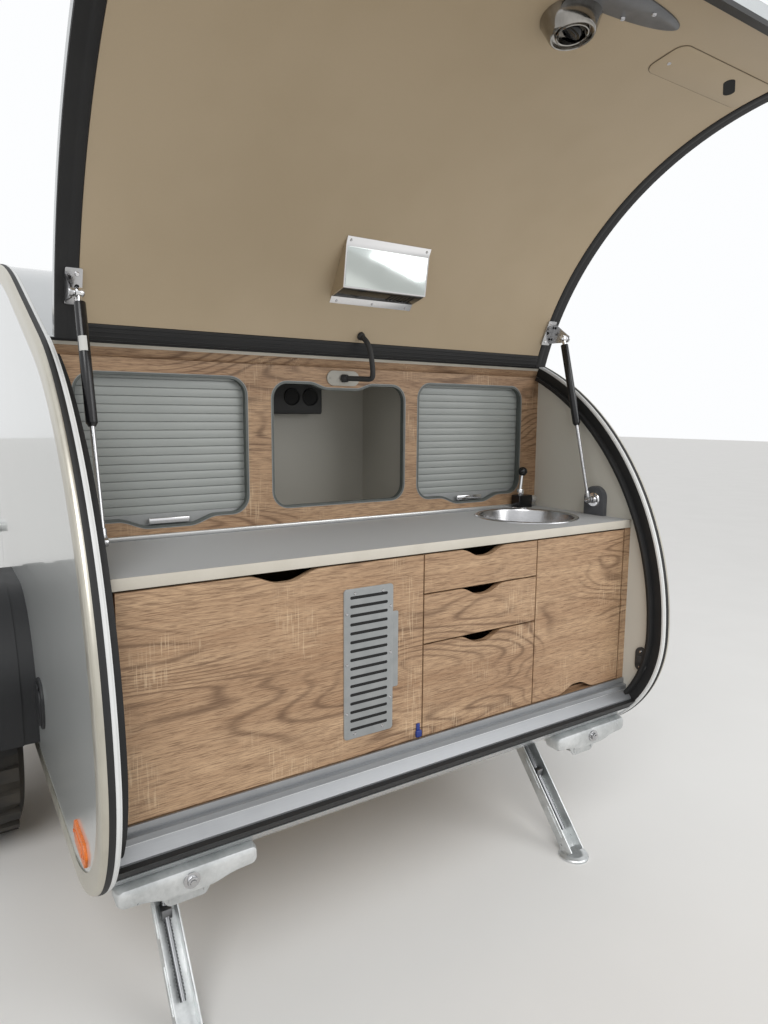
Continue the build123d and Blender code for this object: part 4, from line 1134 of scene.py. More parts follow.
@dataclass
class Hatch:
    """Open hatch: skin, lining, border and what is fixed to it."""

    half: float = 0.724
    border: float = 0.046
    root: float = 156.43
    head: float = 153.95
    tip: float = 0.504
    foot: float = 0.540
    light: tuple[float, float] = (0.221, -0.029)
    lamp: tuple[float, float] = (0.922, -0.076)
    lock: tuple[float, float] = (1.000, 0.0)
    cover: tuple[float, float] = (0.9295, -0.506)
    hole: tuple[float, float] = (0.929, -0.571)
    hole_turn: float = 1.02
    bracket: tuple[float, float] = (0.116, 0.689)
    ball: tuple[float, float] = (-1.322, 1.550)

    def band(self, section: Sequence[tuple[float, float]], last: float, level: float,
             ceiling: float | None = None) -> Form:
        """Sweeps a section along the closed hatch, trims it level and opens it.

        Args:
            section: Inset and Y of each corner.
            last: Turn of the outline at which it ends, near the hinge.
            level: Height of its level lower end.
            ceiling: Height above which it is cut away, or None.

        Returns:
            The opened form.
        """
        form = OUTLINE.sweep(section, 46.0, last, fine=1.8)
        cuts = [(level, -1.0)] + ([(ceiling, 1.0)] if ceiling is not None else [])
        for height, way in cuts:
            mesh = form.mesh
            found = bmesh.ops.bisect_plane(mesh, geom=mesh.verts[:] + mesh.edges[:] + mesh.faces[:],
                                           dist=1e-6, plane_co=(0, 0, height), plane_no=(0, 0, way),
                                           clear_outer=True)
            edges = [item for item in found["geom_cut"] if isinstance(item, bmesh.types.BMEdge)]
            bmesh.ops.contextual_create(mesh, geom=edges)
        return form.move(OPENING)

    def shell(self) -> None:
        """Makes the painted skin, the lining and the black border."""
        half, inner = self.half, self.half - self.border
        outer = ((0.0, -half), (0.0, half), (0.022, half), (0.022, -half))
        skin = self.band(outer, self.root, self.tip)
        skin.piece("hatch_skin", "hatch", OUTER, "body_paint", ["hatch_shell"])
        lining = ((0.0215, -inner), (0.0215, inner), (0.0280, inner), (0.0280, -inner))
        self.band(lining, self.head, self.foot).piece("hatch_lining", "hatch", LINING, "body_paint")
        profile = ((0.0222, half), (0.0222, inner), (0.0290, inner + 0.001), (0.0310, inner + 0.004),
                   (0.0312, inner + 0.014), (0.0296, inner + 0.018), (0.0280, inner + 0.021),
                   (0.0284, inner + 0.025), (0.0284, half - 0.006), (0.0274, half - 0.001))
        pair(self.band(profile, self.root, self.tip), "hatch_edge", "hatch", RUBBER, "black_plastic")
        foot = ((0.0222, -inner), (0.0222, inner), (0.0306, inner), (0.0306, -inner))
        self.band(foot, self.head, self.tip, self.foot).piece("hatch_foot", "hatch", RUBBER, "black_plastic")
        root = on_hatch(0.0305, 0.0)
        head = Form().box((-inner, -0.0100, -0.0058), (inner, 0.0240, 0.0034), 0.003, 3, root)
        for ridge in (-0.006, 0.004, 0.014):
            head.box((-inner, ridge, 0.0026), (inner, ridge + 0.004, 0.0050), 0.0012, 2, root)
        head.piece("hatch_head", "hatch", RUBBER, "black_plastic", ["hatch_border"])

    def light_box(self) -> None:
        """Makes the polished box with its slanting mirror."""
        frame = on_hatch(*self.light)
        base = facing(frame.translation, frame.col[1].xyz, frame.col[0].xyz)
        section = [(-0.087, -0.004), (0.087, -0.004), (0.087, 0.004), (0.065, 0.006), (0.023, 0.049),
                   (-0.068, 0.010), (-0.087, 0.008)]
        case = Form().plate(section, 0.246, nudge(base, 0, 0, -0.123), 0.0, 0.0008)
        case.piece("light_box", "hatch", CHROME, "mirror", ["hatch_light_box"])
        slant = nudge(frame, 0, -0.0225, 0.0295) @ Matrix.Rotation(math.atan2(0.039, 0.091), 4, "X")
        glass = Form().plate(rectangle(0.238, 0.092), 0.0012, slant, 0.002, 0.0005, 3)
        glass.piece("light_mirror", "hatch", MIRROR, "mirror")
        rise = nudge(frame, 0, 0.044, 0.0275) @ Matrix.Rotation(math.atan2(-0.043, 0.042), 4, "X")
        shelf = Form().plate(rectangle(0.240, 0.054), 0.0010, rise, 0.002, 0.0004, 3)
        shelf.piece("light_shelf", "hatch", SHELF, "mirror")
        # The vent slots are thin dark plates of painted shade laid on the shelf, not openings.
        vents = Form()
        for index in range(7):
            spot = nudge(rise, -0.096 + 0.011 * index, 0.0, 0.0010)
            vents.plate(rectangle(0.0055, 0.034), 0.0006, spot, 0.0026, 0.0, 4)
        vents.piece("light_vents", "hatch", PAINTED_HOLE_SHADE, "black_plastic")
        ends = Form()
        side = [(x, y) for x, y in section if y >= 0.004]
        for shift in (0.123, -0.1236):
            ends.plate([(-0.080, 0.0005), (0.080, 0.0005), *side[1:4]], 0.0006, nudge(base, 0, 0, shift))
        ends.piece("light_ends", "hatch", LINING, "body_paint")
        heads = Form()
        for x, y, height in ((-0.105, 0.076, 0.0052), (0.105, 0.076, 0.0052), (0.0, 0.076, 0.0052),
                             (-0.112, -0.078, 0.0090), (0.112, -0.078, 0.0090)):
            screw(heads, nudge(frame, x, y, height), 0.0036)
        heads.piece("light_screws", "hatch", STEEL, "bright_steel")

    def downlight(self) -> None:
        """Makes the round lamp: a tapered case with stepped rings and a tilted dark lens."""
        frame = on_hatch(*self.lamp)
        centre = frame.translation
        axis = frame.col[2].xyz
        profile = ((0.0, 0.0), (0.0, 0.0560), (0.003, 0.0560), (0.031, 0.0440), (0.0355, 0.0415),
                   (0.0370, 0.0392),
                   (0.0362, 0.0372), (0.0300, 0.0362), (0.0290, 0.0318), (0.0345, 0.0300), (0.0352, 0.0284),
                   (0.0340, 0.0270), (0.0200, 0.0262), (0.0190, 0.0))
        form = Form().turned(profile, centre, axis, 64)
        form.piece("lamp_case", "hatch", CONE, "black_metal", ["hatch_downlight"])
        lens = Form().drum((0.0, 0.0, 0.0195), (0.0030, 0.0045, 0.0275), 0.0225, 0.0215, 48, 0.001, frame)
        lens.drum((0.0028, 0.0042, 0.0270), (0.0034, 0.0052, 0.0286), 0.0160, 0.0150, 40, 0.0004, frame)
        lens.piece("lamp_lens", "hatch", BLACK_METAL, "black_metal")

    def plates(self) -> None:
        """Makes the lock plate, the cover beside it with a rim of painted shadow round it, and their screws
        and holes, the holes drawn as dark plates of painted shade.
        """
        tight, wide = 0.327, 0.50
        at_lock, at_cover = on_hatch(*self.lock), on_hatch(*self.cover)
        lock = Form().plate(oval(0.280, 0.045), 0.003, at_lock, 0.0, 0.001).lay(at_lock, tight)
        lock.piece("lock_plate", "hatch", DARK_PLATE, "black_plastic", ["hatch_plates"])
        cover = Form().plate(rounded(0.332, 0.093, 0.022), 0.0018, at_cover, 0.0, 0.0006).lay(at_cover, wide)
        cover.piece("cover_plate", "hatch", LINING, "body_paint")
        # A slightly larger plate under the cover shows round its edge as a thin line of painted shadow.
        gap = Form().plate(rounded(0.3346, 0.0956, 0.0233), 0.0008, at_cover, 0.0, 0.0).lay(at_cover, wide)
        gap.piece("cover_gap", "hatch", SHADOW, "black_plastic")
        heads = Form()
        for distance, y in ((0.968, -0.162), (1.010, -0.197), (0.968, 0.162), (1.010, 0.197),
                            (0.921, -0.368)):
            screw(heads, on_hatch(distance, y, 0.0300 if distance < 0.95 else 0.0312), 0.0055)
        heads.piece("hatch_screws", "hatch", STEEL, "bright_steel")
        # The slot in the cover is a thin dark plate of painted shade, not an opening.
        spot = nudge(on_hatch(*self.hole), 0, 0, 0.0024) @ Matrix.Rotation(self.hole_turn, 4, "Z")
        hole = Form().plate(rounded(0.024, 0.066, 0.0118), 0.0016, spot, 0.0, 0.0)
        hole.piece("cover_hole", "hatch", PAINTED_HOLE_SHADE, "black_plastic")

    def brackets(self) -> None:
        """Makes the steel plates on the border with the arms and studs of the struts."""
        base = on_hatch(*self.bracket)
        form = Form().plate(rectangle(0.034, 0.076), 0.0062, base, 0.003, 0.0008, 3)
        top = Vector((self.ball[0], 0.0, self.ball[1]))
        roots = [base.translation + base.col[1].xyz * reach + base.col[2].xyz * 0.003
                 for reach in (0.034, -0.030)]
        ahead = (top - (roots[0] + roots[1]) / 2) * Vector((1.0, 0.0, 1.0))
        lead = math.atan2(ahead.z, ahead.x)
        tip = [(top.x + 0.0115 * math.cos(lead + turn), top.z + 0.0115 * math.sin(lead + turn))
               for turn in [math.pi * (step / 10 - 0.5) for step in range(11)]]
        corners = [(point.x, point.z) for point in roots]
        form.plate([*corners, *tip], 0.0040, facing((0.0, 0.707, 0.0), (1, 0, 0), (0, -1, 0)))
        form.drum((top.x, 0.709, top.z), (top.x, 0.698, top.z), 0.0085, None, 28, 0.001)
        form.drum((top.x, 0.703, top.z), (top.x, 0.682, top.z), 0.0040, None, 20, 0.0006)
        bmesh.ops.recalc_face_normals(form.mesh, faces=form.mesh.faces[:])
        right = form.mirrored()
        form.piece("hatch_bracket_left", "hatch", STEEL, "bright_steel", ["hatch_brackets"])
        right.piece("hatch_bracket_right", "hatch", STEEL, "bright_steel")
        # The holes are thin dark discs of painted shade on the plates, not openings.
        details, holes = Form(), Form()
        for reach in (0.026, -0.026):
            screw(details, nudge(base, -0.006, reach, 0.0062), 0.0050)
            holes.drum((0.009, reach * 0.7, 0.0060), (0.009, reach * 0.7, 0.0065), 0.0042, None, 20, 0.0,
                       base)
        holes.drum((-0.006, 0.0, 0.0060), (-0.006, 0.0, 0.0065), 0.0050, None, 20, 0.0, base)
        pair(details, "bracket_screw", "hatch", CHROME, "bright_steel")
        pair(holes, "bracket_hole", "hatch", PAINTED_HOLE_SHADE, "black_plastic")

    def build(self) -> None:
        """Makes every piece of the hatch."""
        self.shell()
        self.brackets()
        self.light_box()
        self.downlight()
        self.plates()


@dataclass
class Struts:
    """Gas struts with their brackets."""

    y: float = 0.690
    top: tuple[float, float] = (-1.322, 1.550)
    low: tuple[float, float] = (-1.448, 1.065)
    tube: float = 0.272

    def point(self, distance: float) -> Vector:
        """Point on the left strut's line, from its upper ball down."""
        first = Vector((self.top[0], self.y, self.top[1]))
        line = Vector((self.low[0], self.y, self.low[1])) - first
        return first + line.normalized() * distance

    def build(self) -> None:
        """Makes both struts and their brackets."""
        tube = Form()
        tube.drum(self.point(0.020), self.point(self.tube - 0.005), 0.0112, None, 36, 0.0018)
        tube.drum(self.point(self.tube - 0.007), self.point(self.tube), 0.0108, 0.0074, 36)
        pair(tube, "strut_case", "strut_tube_{side}", BLACK_METAL, "black_metal", "strut_tube_{side}")
        eye = Form()
        first = self.point(0.0)
        eye.drum(first - Vector((0, 0.007, 0)), first + Vector((0, 0.007, 0)), 0.010, None, 28, 0.002)
        eye.drum(self.point(0.006), self.point(0.023), 0.0055, None, 20)
        eye.ball(first - Vector((0, 0.004, 0)), 0.0085)
        pair(eye, "strut_eye", "strut_tube_{side}", CHROME, "bright_steel")
        label = Form().patch(self.point(0.092), self.point(0.122), 0.0115, (-1.0, 0.35, 0.0), 1.5)
        label.piece("strut_label_left", "strut_tube_left", LABEL, "body_paint")
        rod = Form()
        end = self.point(0.501)
        rod.drum(self.point(self.tube - 0.01), self.point(0.489), 0.005, None, 24)
        rod.drum(self.point(0.474), self.point(0.494), 0.0072, None, 24, 0.001)
        rod.drum(end - Vector((0, 0.008, 0)), end + Vector((0, 0.008, 0)), 0.0092, None, 28, 0.002)
        pair(rod, "strut_shaft", "strut_rod_{side}", STEEL, "bright_steel", "strut_rod_{side}")
        foot = Form()
        x, z = self.low
        arch = [(0.0365 * math.cos(math.pi * index / 16), 0.0045 + 0.0365 * math.sin(math.pi * index / 16))
                for index in range(17)]
        frame = inner_frame(self.low)
        foot.plate([(-0.0365, -0.047), (0.0365, -0.047), *arch], 0.0184, frame, 0.0, 0.0025)
        right_foot = foot.mirrored()
        foot.piece("strut_foot_left", BODY, DARK_PLATE, "galvanised", ["wall_brackets"])
        right_foot.piece("strut_foot_right", BODY, DARK_PLATE, "galvanised")
        disc = Form().drum((x, INNER - 0.018, z), (x, INNER - 0.0215, z), 0.023, 0.020, 36, 0.001)
        pair(disc, "strut_disc", BODY, CHROME, "bright_steel", "")
        ball = Form()
        ball.drum((x, INNER - 0.018, z), (x, self.y + 0.012, z), 0.012, 0.010, 28, 0.001)
        pair(ball, "strut_socket", BODY, CHROME, "bright_steel", "")


@dataclass
class Galley:
    """Fronts, worktop, panel, shutters and what stands on them."""

    openings: tuple[tuple[str, float, float, float, float], ...] = (
        ("left", 0.487, 0.203, 1.063, 1.405),
        ("middle", 0.010, 0.208, 1.069, 1.398),
        ("right", -0.4495, 0.2065, 1.065, 1.407),
    )
    slats: int = 17
    vent: tuple[float, float] = (0.1645, 0.763)
    basin: tuple[float, float] = (-1.365, -0.517)
    spout: tuple[float, float] = (-1.212, -0.646)
    sockets: tuple[float, float] = (0.069, 0.0095)
    socket_z: float = 1.3645

    def outline(self, name: str, half: float, low: float, high: float,
                grow: float) -> list[tuple[float, float]]:
        """Corners of a panel opening about its middle, seen from the rear.

        Args:
            name: The opening's name; the middle one has a tab at its top, the others a dip.
            half: Half its width.
            low: Its low edge.
            high: Its high edge.
            grow: Growth on every side.

        Returns:
            Corners in order, anticlockwise from the lower left.
        """
        top, side = (high - low) / 2 + grow, half + grow
        dip, floor, deep = (0.100, 0.042, 0.014) if name == "middle" else (0.122, 0.048, 0.020)
        fall = [(dip + (floor - dip) * index / 12, -deep * (1 - math.cos(math.pi * index / 12)) / 2)
                for index in range(13)]
        corners = rounded(2 * side, 2 * top, 0.045 + grow)
        steps = len(corners) // 2
        if name == "middle":
            bulge = [(x, top + y) for x, y in fall] + [(-x, top + y) for x, y in reversed(fall)]
            return corners[:steps // 2] + bulge + corners[steps // 2:]
        bulge = [(-x, -top + y) for x, y in fall] + [(x, -top + y) for x, y in reversed(fall)]
        return corners[:steps + steps // 2] + bulge + corners[steps + steps // 2:]

    def shutters(self) -> None:
        """Makes the slatted curtains, their pull plates and bar handles."""
        slats, plates, bars = Form(), Form(), Form()
        for name, middle, half, low, high in self.openings:
            if name == "middle":
                continue
            bottom = low + 0.012
            pitch = (high + 0.008 - bottom) / self.slats
            for index in range(self.slats):
                z = bottom + pitch * (index + 0.5)
                x = PANEL_X + 0.016
                slats.box((x + 0.0005, middle - half - 0.009, z - pitch / 2 + 0.0007),
                          (x + 0.007, middle + half + 0.009, z + pitch / 2 - 0.0007), 0.0012, 2)
            slats.box((x + 0.004, middle - half - 0.008, bottom),
                      (x + 0.0065, middle + half + 0.008, high + 0.006))
            frame = rear(PANEL_X + 0.023, middle, low)
            corners = [(-half - 0.009, -0.028), (half + 0.009, -0.028), (half + 0.009, 0.0125),
                       (-half - 0.009, 0.0125)]
            plates.plate(corners, 0.0085, frame, 0.0, 0.002)
            bars.box((PANEL_X + 0.002, middle - 0.049, low - 0.0115),
                     (PANEL_X + 0.0085, middle + 0.049, low + 0.0025), 0.0018, 3)
            for shift in (-0.036, 0.036):
                bars.drum((PANEL_X + 0.006, middle + shift, low - 0.0045),
                          (PANEL_X + 0.016, middle + shift, low - 0.0045), 0.005, None, 20)
        slats.piece("shutter_slats", BODY, SLAT, "shutter", ["roller_shutters"])
        plates.piece("shutter_pulls", BODY, PLATE, "shutter")
        bars.piece("shutter_bars", BODY, CHROME, "bright_steel")

    def panel_edges(self) -> None:
        """Makes the grey edge bands round the panel's openings and their paler outer lines."""
        bands, lines = Form(), Form()
        for name, middle, half, low, high in self.openings:
            frame = rear(PANEL_X + 0.015, middle, (low + high) / 2)
            bands.plate(self.outline(name, half, low, high, 0.0004), 0.0154, frame, 0.0, 0.0, 5, 0.0058)
            lines.plate(self.outline(name, half, low, high, 0.0018), 0.0158, frame, 0.0, 0.0, 5, 0.0016)
        bands.piece("opening_bands", BODY, BAND, "shutter")
        lines.piece("opening_lines", BODY, PLATE, "shutter")

    def worktop(self) -> None:
        """Makes the worktop's front band and the strip at its back."""
        band = Form().box((FRONT_X - 0.002, -INSIDE, WORKTOP_Z - 0.0225),
                          (FRONT_X + 0.0005, INSIDE, WORKTOP_Z + 0.0005), 0.0008)
        band.piece("worktop_band", BODY, EDGING, "trim")
        strip = Form().box((PANEL_X - 0.010, -INSIDE, WORKTOP_Z), (PANEL_X, INSIDE, WORKTOP_Z + 0.011),
                           0.003, 3)
        strip.piece("worktop_upstand", BODY, BRIGHT, "trim")
        lip = Form().box((FRONT_X - 0.006, -INSIDE, 0.525), (FRONT_X, INSIDE, 0.5425), 0.0012)
        lip.piece("sill_lip", BODY, SATIN, "trim")
        # Two thin ridges along the sill, paler than the sill's own aluminium: real ridges whose brighter
        # colour is a painted highlight line.
        highlight_ridges = Form()
        for back, low, front, high in ((0.0165, 0.5085, 0.0140, 0.5115), (0.0195, 0.4600, 0.0165, 0.4635)):
            highlight_ridges.box((FRONT_X - back, -INSIDE, low), (FRONT_X - front, INSIDE, high), 0.0008)
        highlight_ridges.piece("sill_ridges", BODY, BRIGHT, "trim")

    def grille(self) -> None:
        """Makes the vent plate with its open slots, drawn as dark plates of painted shade, and its screws."""
        frame = rear(FRONT_X, *self.vent)
        plate = Form()
        plate.plate(rectangle(0.129, 0.346), 0.003, frame, 0.008, 0.0008)
        tab = [(0.060, -0.073), (0.079, -0.073), (0.079, 0.107), (0.060, 0.107)]
        plate.plate(tab, 0.0028, frame, 0.004, 0.0008)
        plate.piece("vent_plate", "drawer_wide", PLATE, "grille", ["vent_grille"])
        # Each slot is a thin dark plate of painted shade laid on the vent plate.
        slots, heads = Form(), Form()
        for index in range(16):
            z = -0.1505 + 0.02023 * index
            spot = nudge(frame, 0, z, 0.0029)
            slots.plate(rectangle(0.098, 0.0068), 0.0004, spot, 0.0030, 0.0, 4)
        slots.piece("vent_slots", "drawer_wide", PAINTED_HOLE_SHADE, "black_plastic")
        for x, z in ((-0.037, 0.162), (0.036, 0.160), (0.0575, 0.121), (-0.0575, 0.118), (0.0575, 0.012),
                     (-0.0575, 0.002), (0.0575, -0.096), (-0.0575, -0.112), (-0.037, -0.162),
                     (0.036, -0.160)):
            screw(heads, nudge(frame, x, z, 0.003), 0.0036)
        heads.piece("vent_screws", "drawer_wide", STEEL, "bright_steel")

    def sink(self) -> None:
        """Makes the pressed bowl with its rolled rim and strainer."""
        centre = (*self.basin, WORKTOP_Z)
        profile = ((0.0, 0.1525), (0.0022, 0.1520), (0.0038, 0.1490), (0.0038, 0.1440), (0.0015, 0.1390),
                   (-0.004, 0.1365), (-0.080, 0.1345), (-0.100, 0.1290), (-0.110, 0.1150), (-0.1135, 0.0950),
                   (-0.1150, 0.0), (-0.1165, 0.0), (-0.1150, 0.0960), (-0.1115, 0.1165), (-0.1010, 0.1305),
                   (-0.080, 0.1365), (0.0, 0.1385))
        bowl = Form().turned(profile, centre, (0, 0, 1), 72)
        bowl.piece("sink_bowl", BODY, STEEL, "bright_steel", ["sink"])
        drain = Form().turned(((-0.1148, 0.0), (-0.1148, 0.036), (-0.1125, 0.037), (-0.1115, 0.034),
                               (-0.1135, 0.030), (-0.1135, 0.0)), centre, (0, 0, 1), 40)
        drain.piece("sink_drain", BODY, CHROME, "chrome")
        # The strainer's holes are thin dark discs of painted shade, not openings.
        holes = Form()
        for index in range(8):
            angle = math.tau * index / 8
            x, y = centre[0] + 0.018 * math.cos(angle), centre[1] + 0.018 * math.sin(angle)
            holes.drum((x, y, WORKTOP_Z - 0.1136), (x, y, WORKTOP_Z - 0.1130), 0.0032, None, 12)
        holes.piece("sink_holes", BODY, PAINTED_HOLE_SHADE, "black_plastic")

    def tap(self) -> None:
        """Makes the folded tap: black body, chrome neck and lever, black ball."""
        x, y = self.spout
        black = Form().box((x - 0.019, y - 0.029, WORKTOP_Z), (x + 0.019, y + 0.029, WORKTOP_Z + 0.042),
                           0.003, 3)
        black.ball((x, y, WORKTOP_Z + 0.118), 0.0148)
        black.piece("tap_body", BODY, BLACK_METAL, "black_metal", ["tap"])
        chrome = Form()
        for low_y, low_z, high_y, high_z, radius, tip, sides, edge in (
                (0.0, 0.0, 0.0, 0.003, 0.034, 0.033, 40, 0.001),
                (0.008, 0.041, 0.008, 0.062, 0.0112, None, 28, 0.002),
                (0.008, 0.060, 0.002, 0.106, 0.0052, 0.0044, 20, 0.0),
                (-0.028, 0.027, -0.036, 0.027, 0.009, None, 24, 0.001),
                (-0.036, 0.027, -0.060, 0.027, 0.0118, None, 18, 0.002)):
            chrome.drum((x, y + low_y, WORKTOP_Z + low_z), (x, y + high_y, WORKTOP_Z + high_z),
                        radius, tip, sides, edge)
        chrome.piece("tap_metal", BODY, CHROME, "chrome")

    def small(self) -> None:
        """Makes the blue tag at the fronts and the socket box in the niche."""
        tag = Form().box((FRONT_X - 0.008, 0.016, 0.548), (FRONT_X + 0.0005, 0.033, 0.566), 0.004, 4)
        tag.box((FRONT_X - 0.004, 0.020, 0.562), (FRONT_X + 0.0005, 0.030, 0.582), 0.0018, 3)
        tag.piece("blue_tag", "drawer_wide", BLUE, "black_plastic")
        back = PANEL_X + 0.016 + 0.250 - 0.012
        case = Form().box((back - 0.060, -0.032, 1.315), (back, 0.205, 1.406), 0.006, 4)
        case.box((back - 0.063, -0.024, 1.322), (back - 0.058, 0.197, 1.400), 0.002, 2)
        case.piece("socket_box", BODY, BLACK, "black_plastic")
        # The socket wells and pin holes are thin dark discs of painted shade.
        rings, wells = Form(), Form()
        for y in self.sockets:
            centre = (back - 0.0632, y, self.socket_z)
            rings.turned(((0.0, 0.0255), (0.0030, 0.0252), (0.0042, 0.0235), (0.0030, 0.0218), (0.0, 0.0216)),
                         centre, (-1, 0, 0), 40)
            for shift, near, far, radius, sides in (
                    (0.0, 0.0628, 0.0636, 0.0216, 32), (-0.008, 0.0630, 0.0642, 0.0030, 14),
                    (0.008, 0.0630, 0.0642, 0.0030, 14)):
                wells.drum((back - near, y + shift, self.socket_z), (back - far, y + shift, self.socket_z),
                           radius, None, sides)
        rings.piece("socket_rings", BODY, GRAINED, "black_plastic")
        wells.piece("socket_wells", BODY, PAINTED_HOLE_SHADE, "black_plastic")

    def build(self) -> None:
        """Makes every piece of the galley."""
        self.shutters()
        self.panel_edges()
        self.worktop()
        self.grille()
        self.sink()
        self.tap()
        self.small()


@dataclass
class Conduit:
    """Bent black tube from the hatch's grommet to the panel's gland."""

    radius: float = 0.007
    length: float = 0.204
    route: tuple[tuple[float, float, float], ...] = (
        (-1.2396, -0.017, 1.5186),
        (-1.262, -0.020, 1.507),
        (-1.273, -0.026, 1.474),
        (-1.271, -0.034, 1.428),
        (-1.262, -0.038, 1.4065),
        (-1.236, -0.021, 1.4085),
        (-1.2135, -0.0045, 1.410),
        (-1.196, 0.0062, 1.4107),
    )

    def build(self) -> None:
        """Makes the tube and its two glands."""
        data = bpy.data.curves.new("conduit_tube", "CURVE")
        data.dimensions = "3D"
        spline = data.splines.new("NURBS")
        spline.points.add(len(self.route) - 1)
        for point, place in zip(spline.points, self.route):
            point.co = (*place, 1.0)
        spline.order_u = 3
        spline.use_endpoint_u = True
        spline.resolution_u = 12
        data.bevel_depth = self.radius
        data.bevel_resolution = 6
        data.use_fill_caps = True
        data.materials.append(BLACK.material())
        tube = bpy.data.objects.new("conduit_tube", data)
        bpy.context.scene.collection.objects.link(tube)
        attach(tube, BODY)
        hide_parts("conduit")
        first, second = Vector(self.route[0]), Vector(self.route[1])
        way = (second - first).normalized()
        grommet = Form().drum(first - way * 0.004, first + way * 0.005, 0.0115, 0.0095, 28, 0.001)
        grommet.piece("conduit_grommet", "hatch", BLACK, "black_plastic")
        last, before = Vector(self.route[-1]), Vector(self.route[-2])
        way = (last - before).normalized()
        gland = Form().drum(last - way * 0.006, last + way * 0.010, 0.0102, 0.0108, 28, 0.001)
        gland.piece("conduit_gland", BODY, BLACK, "black_plastic")
        plate = Form().plate(rectangle(0.100, 0.040), 0.004, rear(PANEL_X, 0.008, 1.411), 0.0199, 0.001, 10)
        screw(plate, rear(PANEL_X - 0.004, 0.048, 1.411), 0.0035)
        screw(plate, rear(PANEL_X - 0.004, -0.032, 1.411), 0.0035)
        plate.piece("conduit_oval", BODY, PALE_BOARD, "front_board", ["conduit_plate"])


@dataclass
class Steadies:
    """Zinc-plated corner steadies: bolts, spindles and feet."""

    y: float = 0.585
    bolt: float = 0.402
    bar: float = -1.548
    pivot: tuple[float, float] = (-1.285, 0.310)
    foot: tuple[float, float] = (-1.545, 0.010)

    def build(self) -> None:
        """Makes the bars, gussets, bolts, spindles and foot pads of both steadies."""
        bolts = Form()
        hex_bolt(bolts, facing((-1.5945, self.y, self.bolt), (0, -1, 0), (-1, 0, 0)), 0.0115)
        pair(bolts, "steady_bolt", BODY, STEEL, "bright_steel")
        px, pz = self.pivot
        beam = Form()
        corners = [(-0.141, -0.016), (-0.084, -0.020), (-0.048, -0.031), (0.048, -0.031), (0.084, -0.020),
                   (0.141, -0.016), (0.141, 0.025), (-0.141, 0.025)]
        beam.plate(corners, 0.046, rear(self.bar, self.y, self.bolt), 0.014, 0.012, 6)
        wing = [(-0.070, -0.016), (0.070, -0.016), (0.038, -0.066), (-0.038, -0.066)]
        beam.plate(wing, 0.0035, rear(self.bar - 0.008, self.y, self.bolt), 0.006, 0.001, 4)
        left, right = beam, beam.mirrored()
        left.piece("steady_beam_left", BODY, ZINC, "galvanised", ["steady_mounts"])
        right.piece("steady_beam_right", BODY, ZINC, "galvanised")
        cheeks = Form()
        side = [(px + 0.030, 0.345), (px + 0.030, pz - 0.020), (px - 0.026, pz - 0.020), (px - 0.090, 0.329),
                (-1.562, 0.345), (-1.562, 0.385), (-1.4345, 0.3445)]
        for shift in (0.0375, -0.0340):
            cheeks.plate(side, 0.0035, facing((0.0, self.y + shift, 0.0), (1, 0, 0), (0, -1, 0)), 0.0, 0.0)
        bmesh.ops.recalc_face_normals(cheeks.mesh, faces=cheeks.mesh.faces[:])
        cheeks.box((-1.3445, self.y - 0.0375, 0.3415), (px + 0.030, self.y + 0.0375, 0.3449), 0.0008)
        pair(cheeks, "steady_cheek", BODY, ZINC, "galvanised")
        fx, fz = self.foot
        first, last = Vector((px, self.y, pz)), Vector((fx, self.y, fz))
        line = (last - first).normalized()
        spindle = Form()
        spindle.drum(first + line * 0.040, first + line * 0.330, 0.0065, None, 16)
        for index in range(40):
            spot = first + line * (0.044 + 0.007 * index)
            spindle.drum(spot, spot + line * 0.0035, 0.0082, None, 12)
        spindle.box((-0.014, -0.012, -0.012), (0.014, 0.012, 0.012), 0.002, 2,
                    Matrix.Translation(first + line * 0.150))
        pair(spindle, "steady_spindle", "steady_leg_{side}", SPINDLE, "bright_steel")
        pins = Form()
        pins.drum((px, self.y - 0.044, pz), (px, self.y + 0.044, pz), 0.0085, None, 20, 0.001)
        pair(pins, "steady_pin", BODY, STEEL, "bright_steel")
        pad = Form().turned(((0.0082, 0.0), (0.0082, 0.020), (0.0105, 0.024), (0.0105, 0.034),
                             (0.0082, 0.040), (0.0078, 0.040), (0.0078, 0.0)),
                            (fx, self.y, 0.0), (0, 0, 1), 40)
        pair(pad, "steady_pad", "steady_leg_{side}", ZINC, "galvanised")


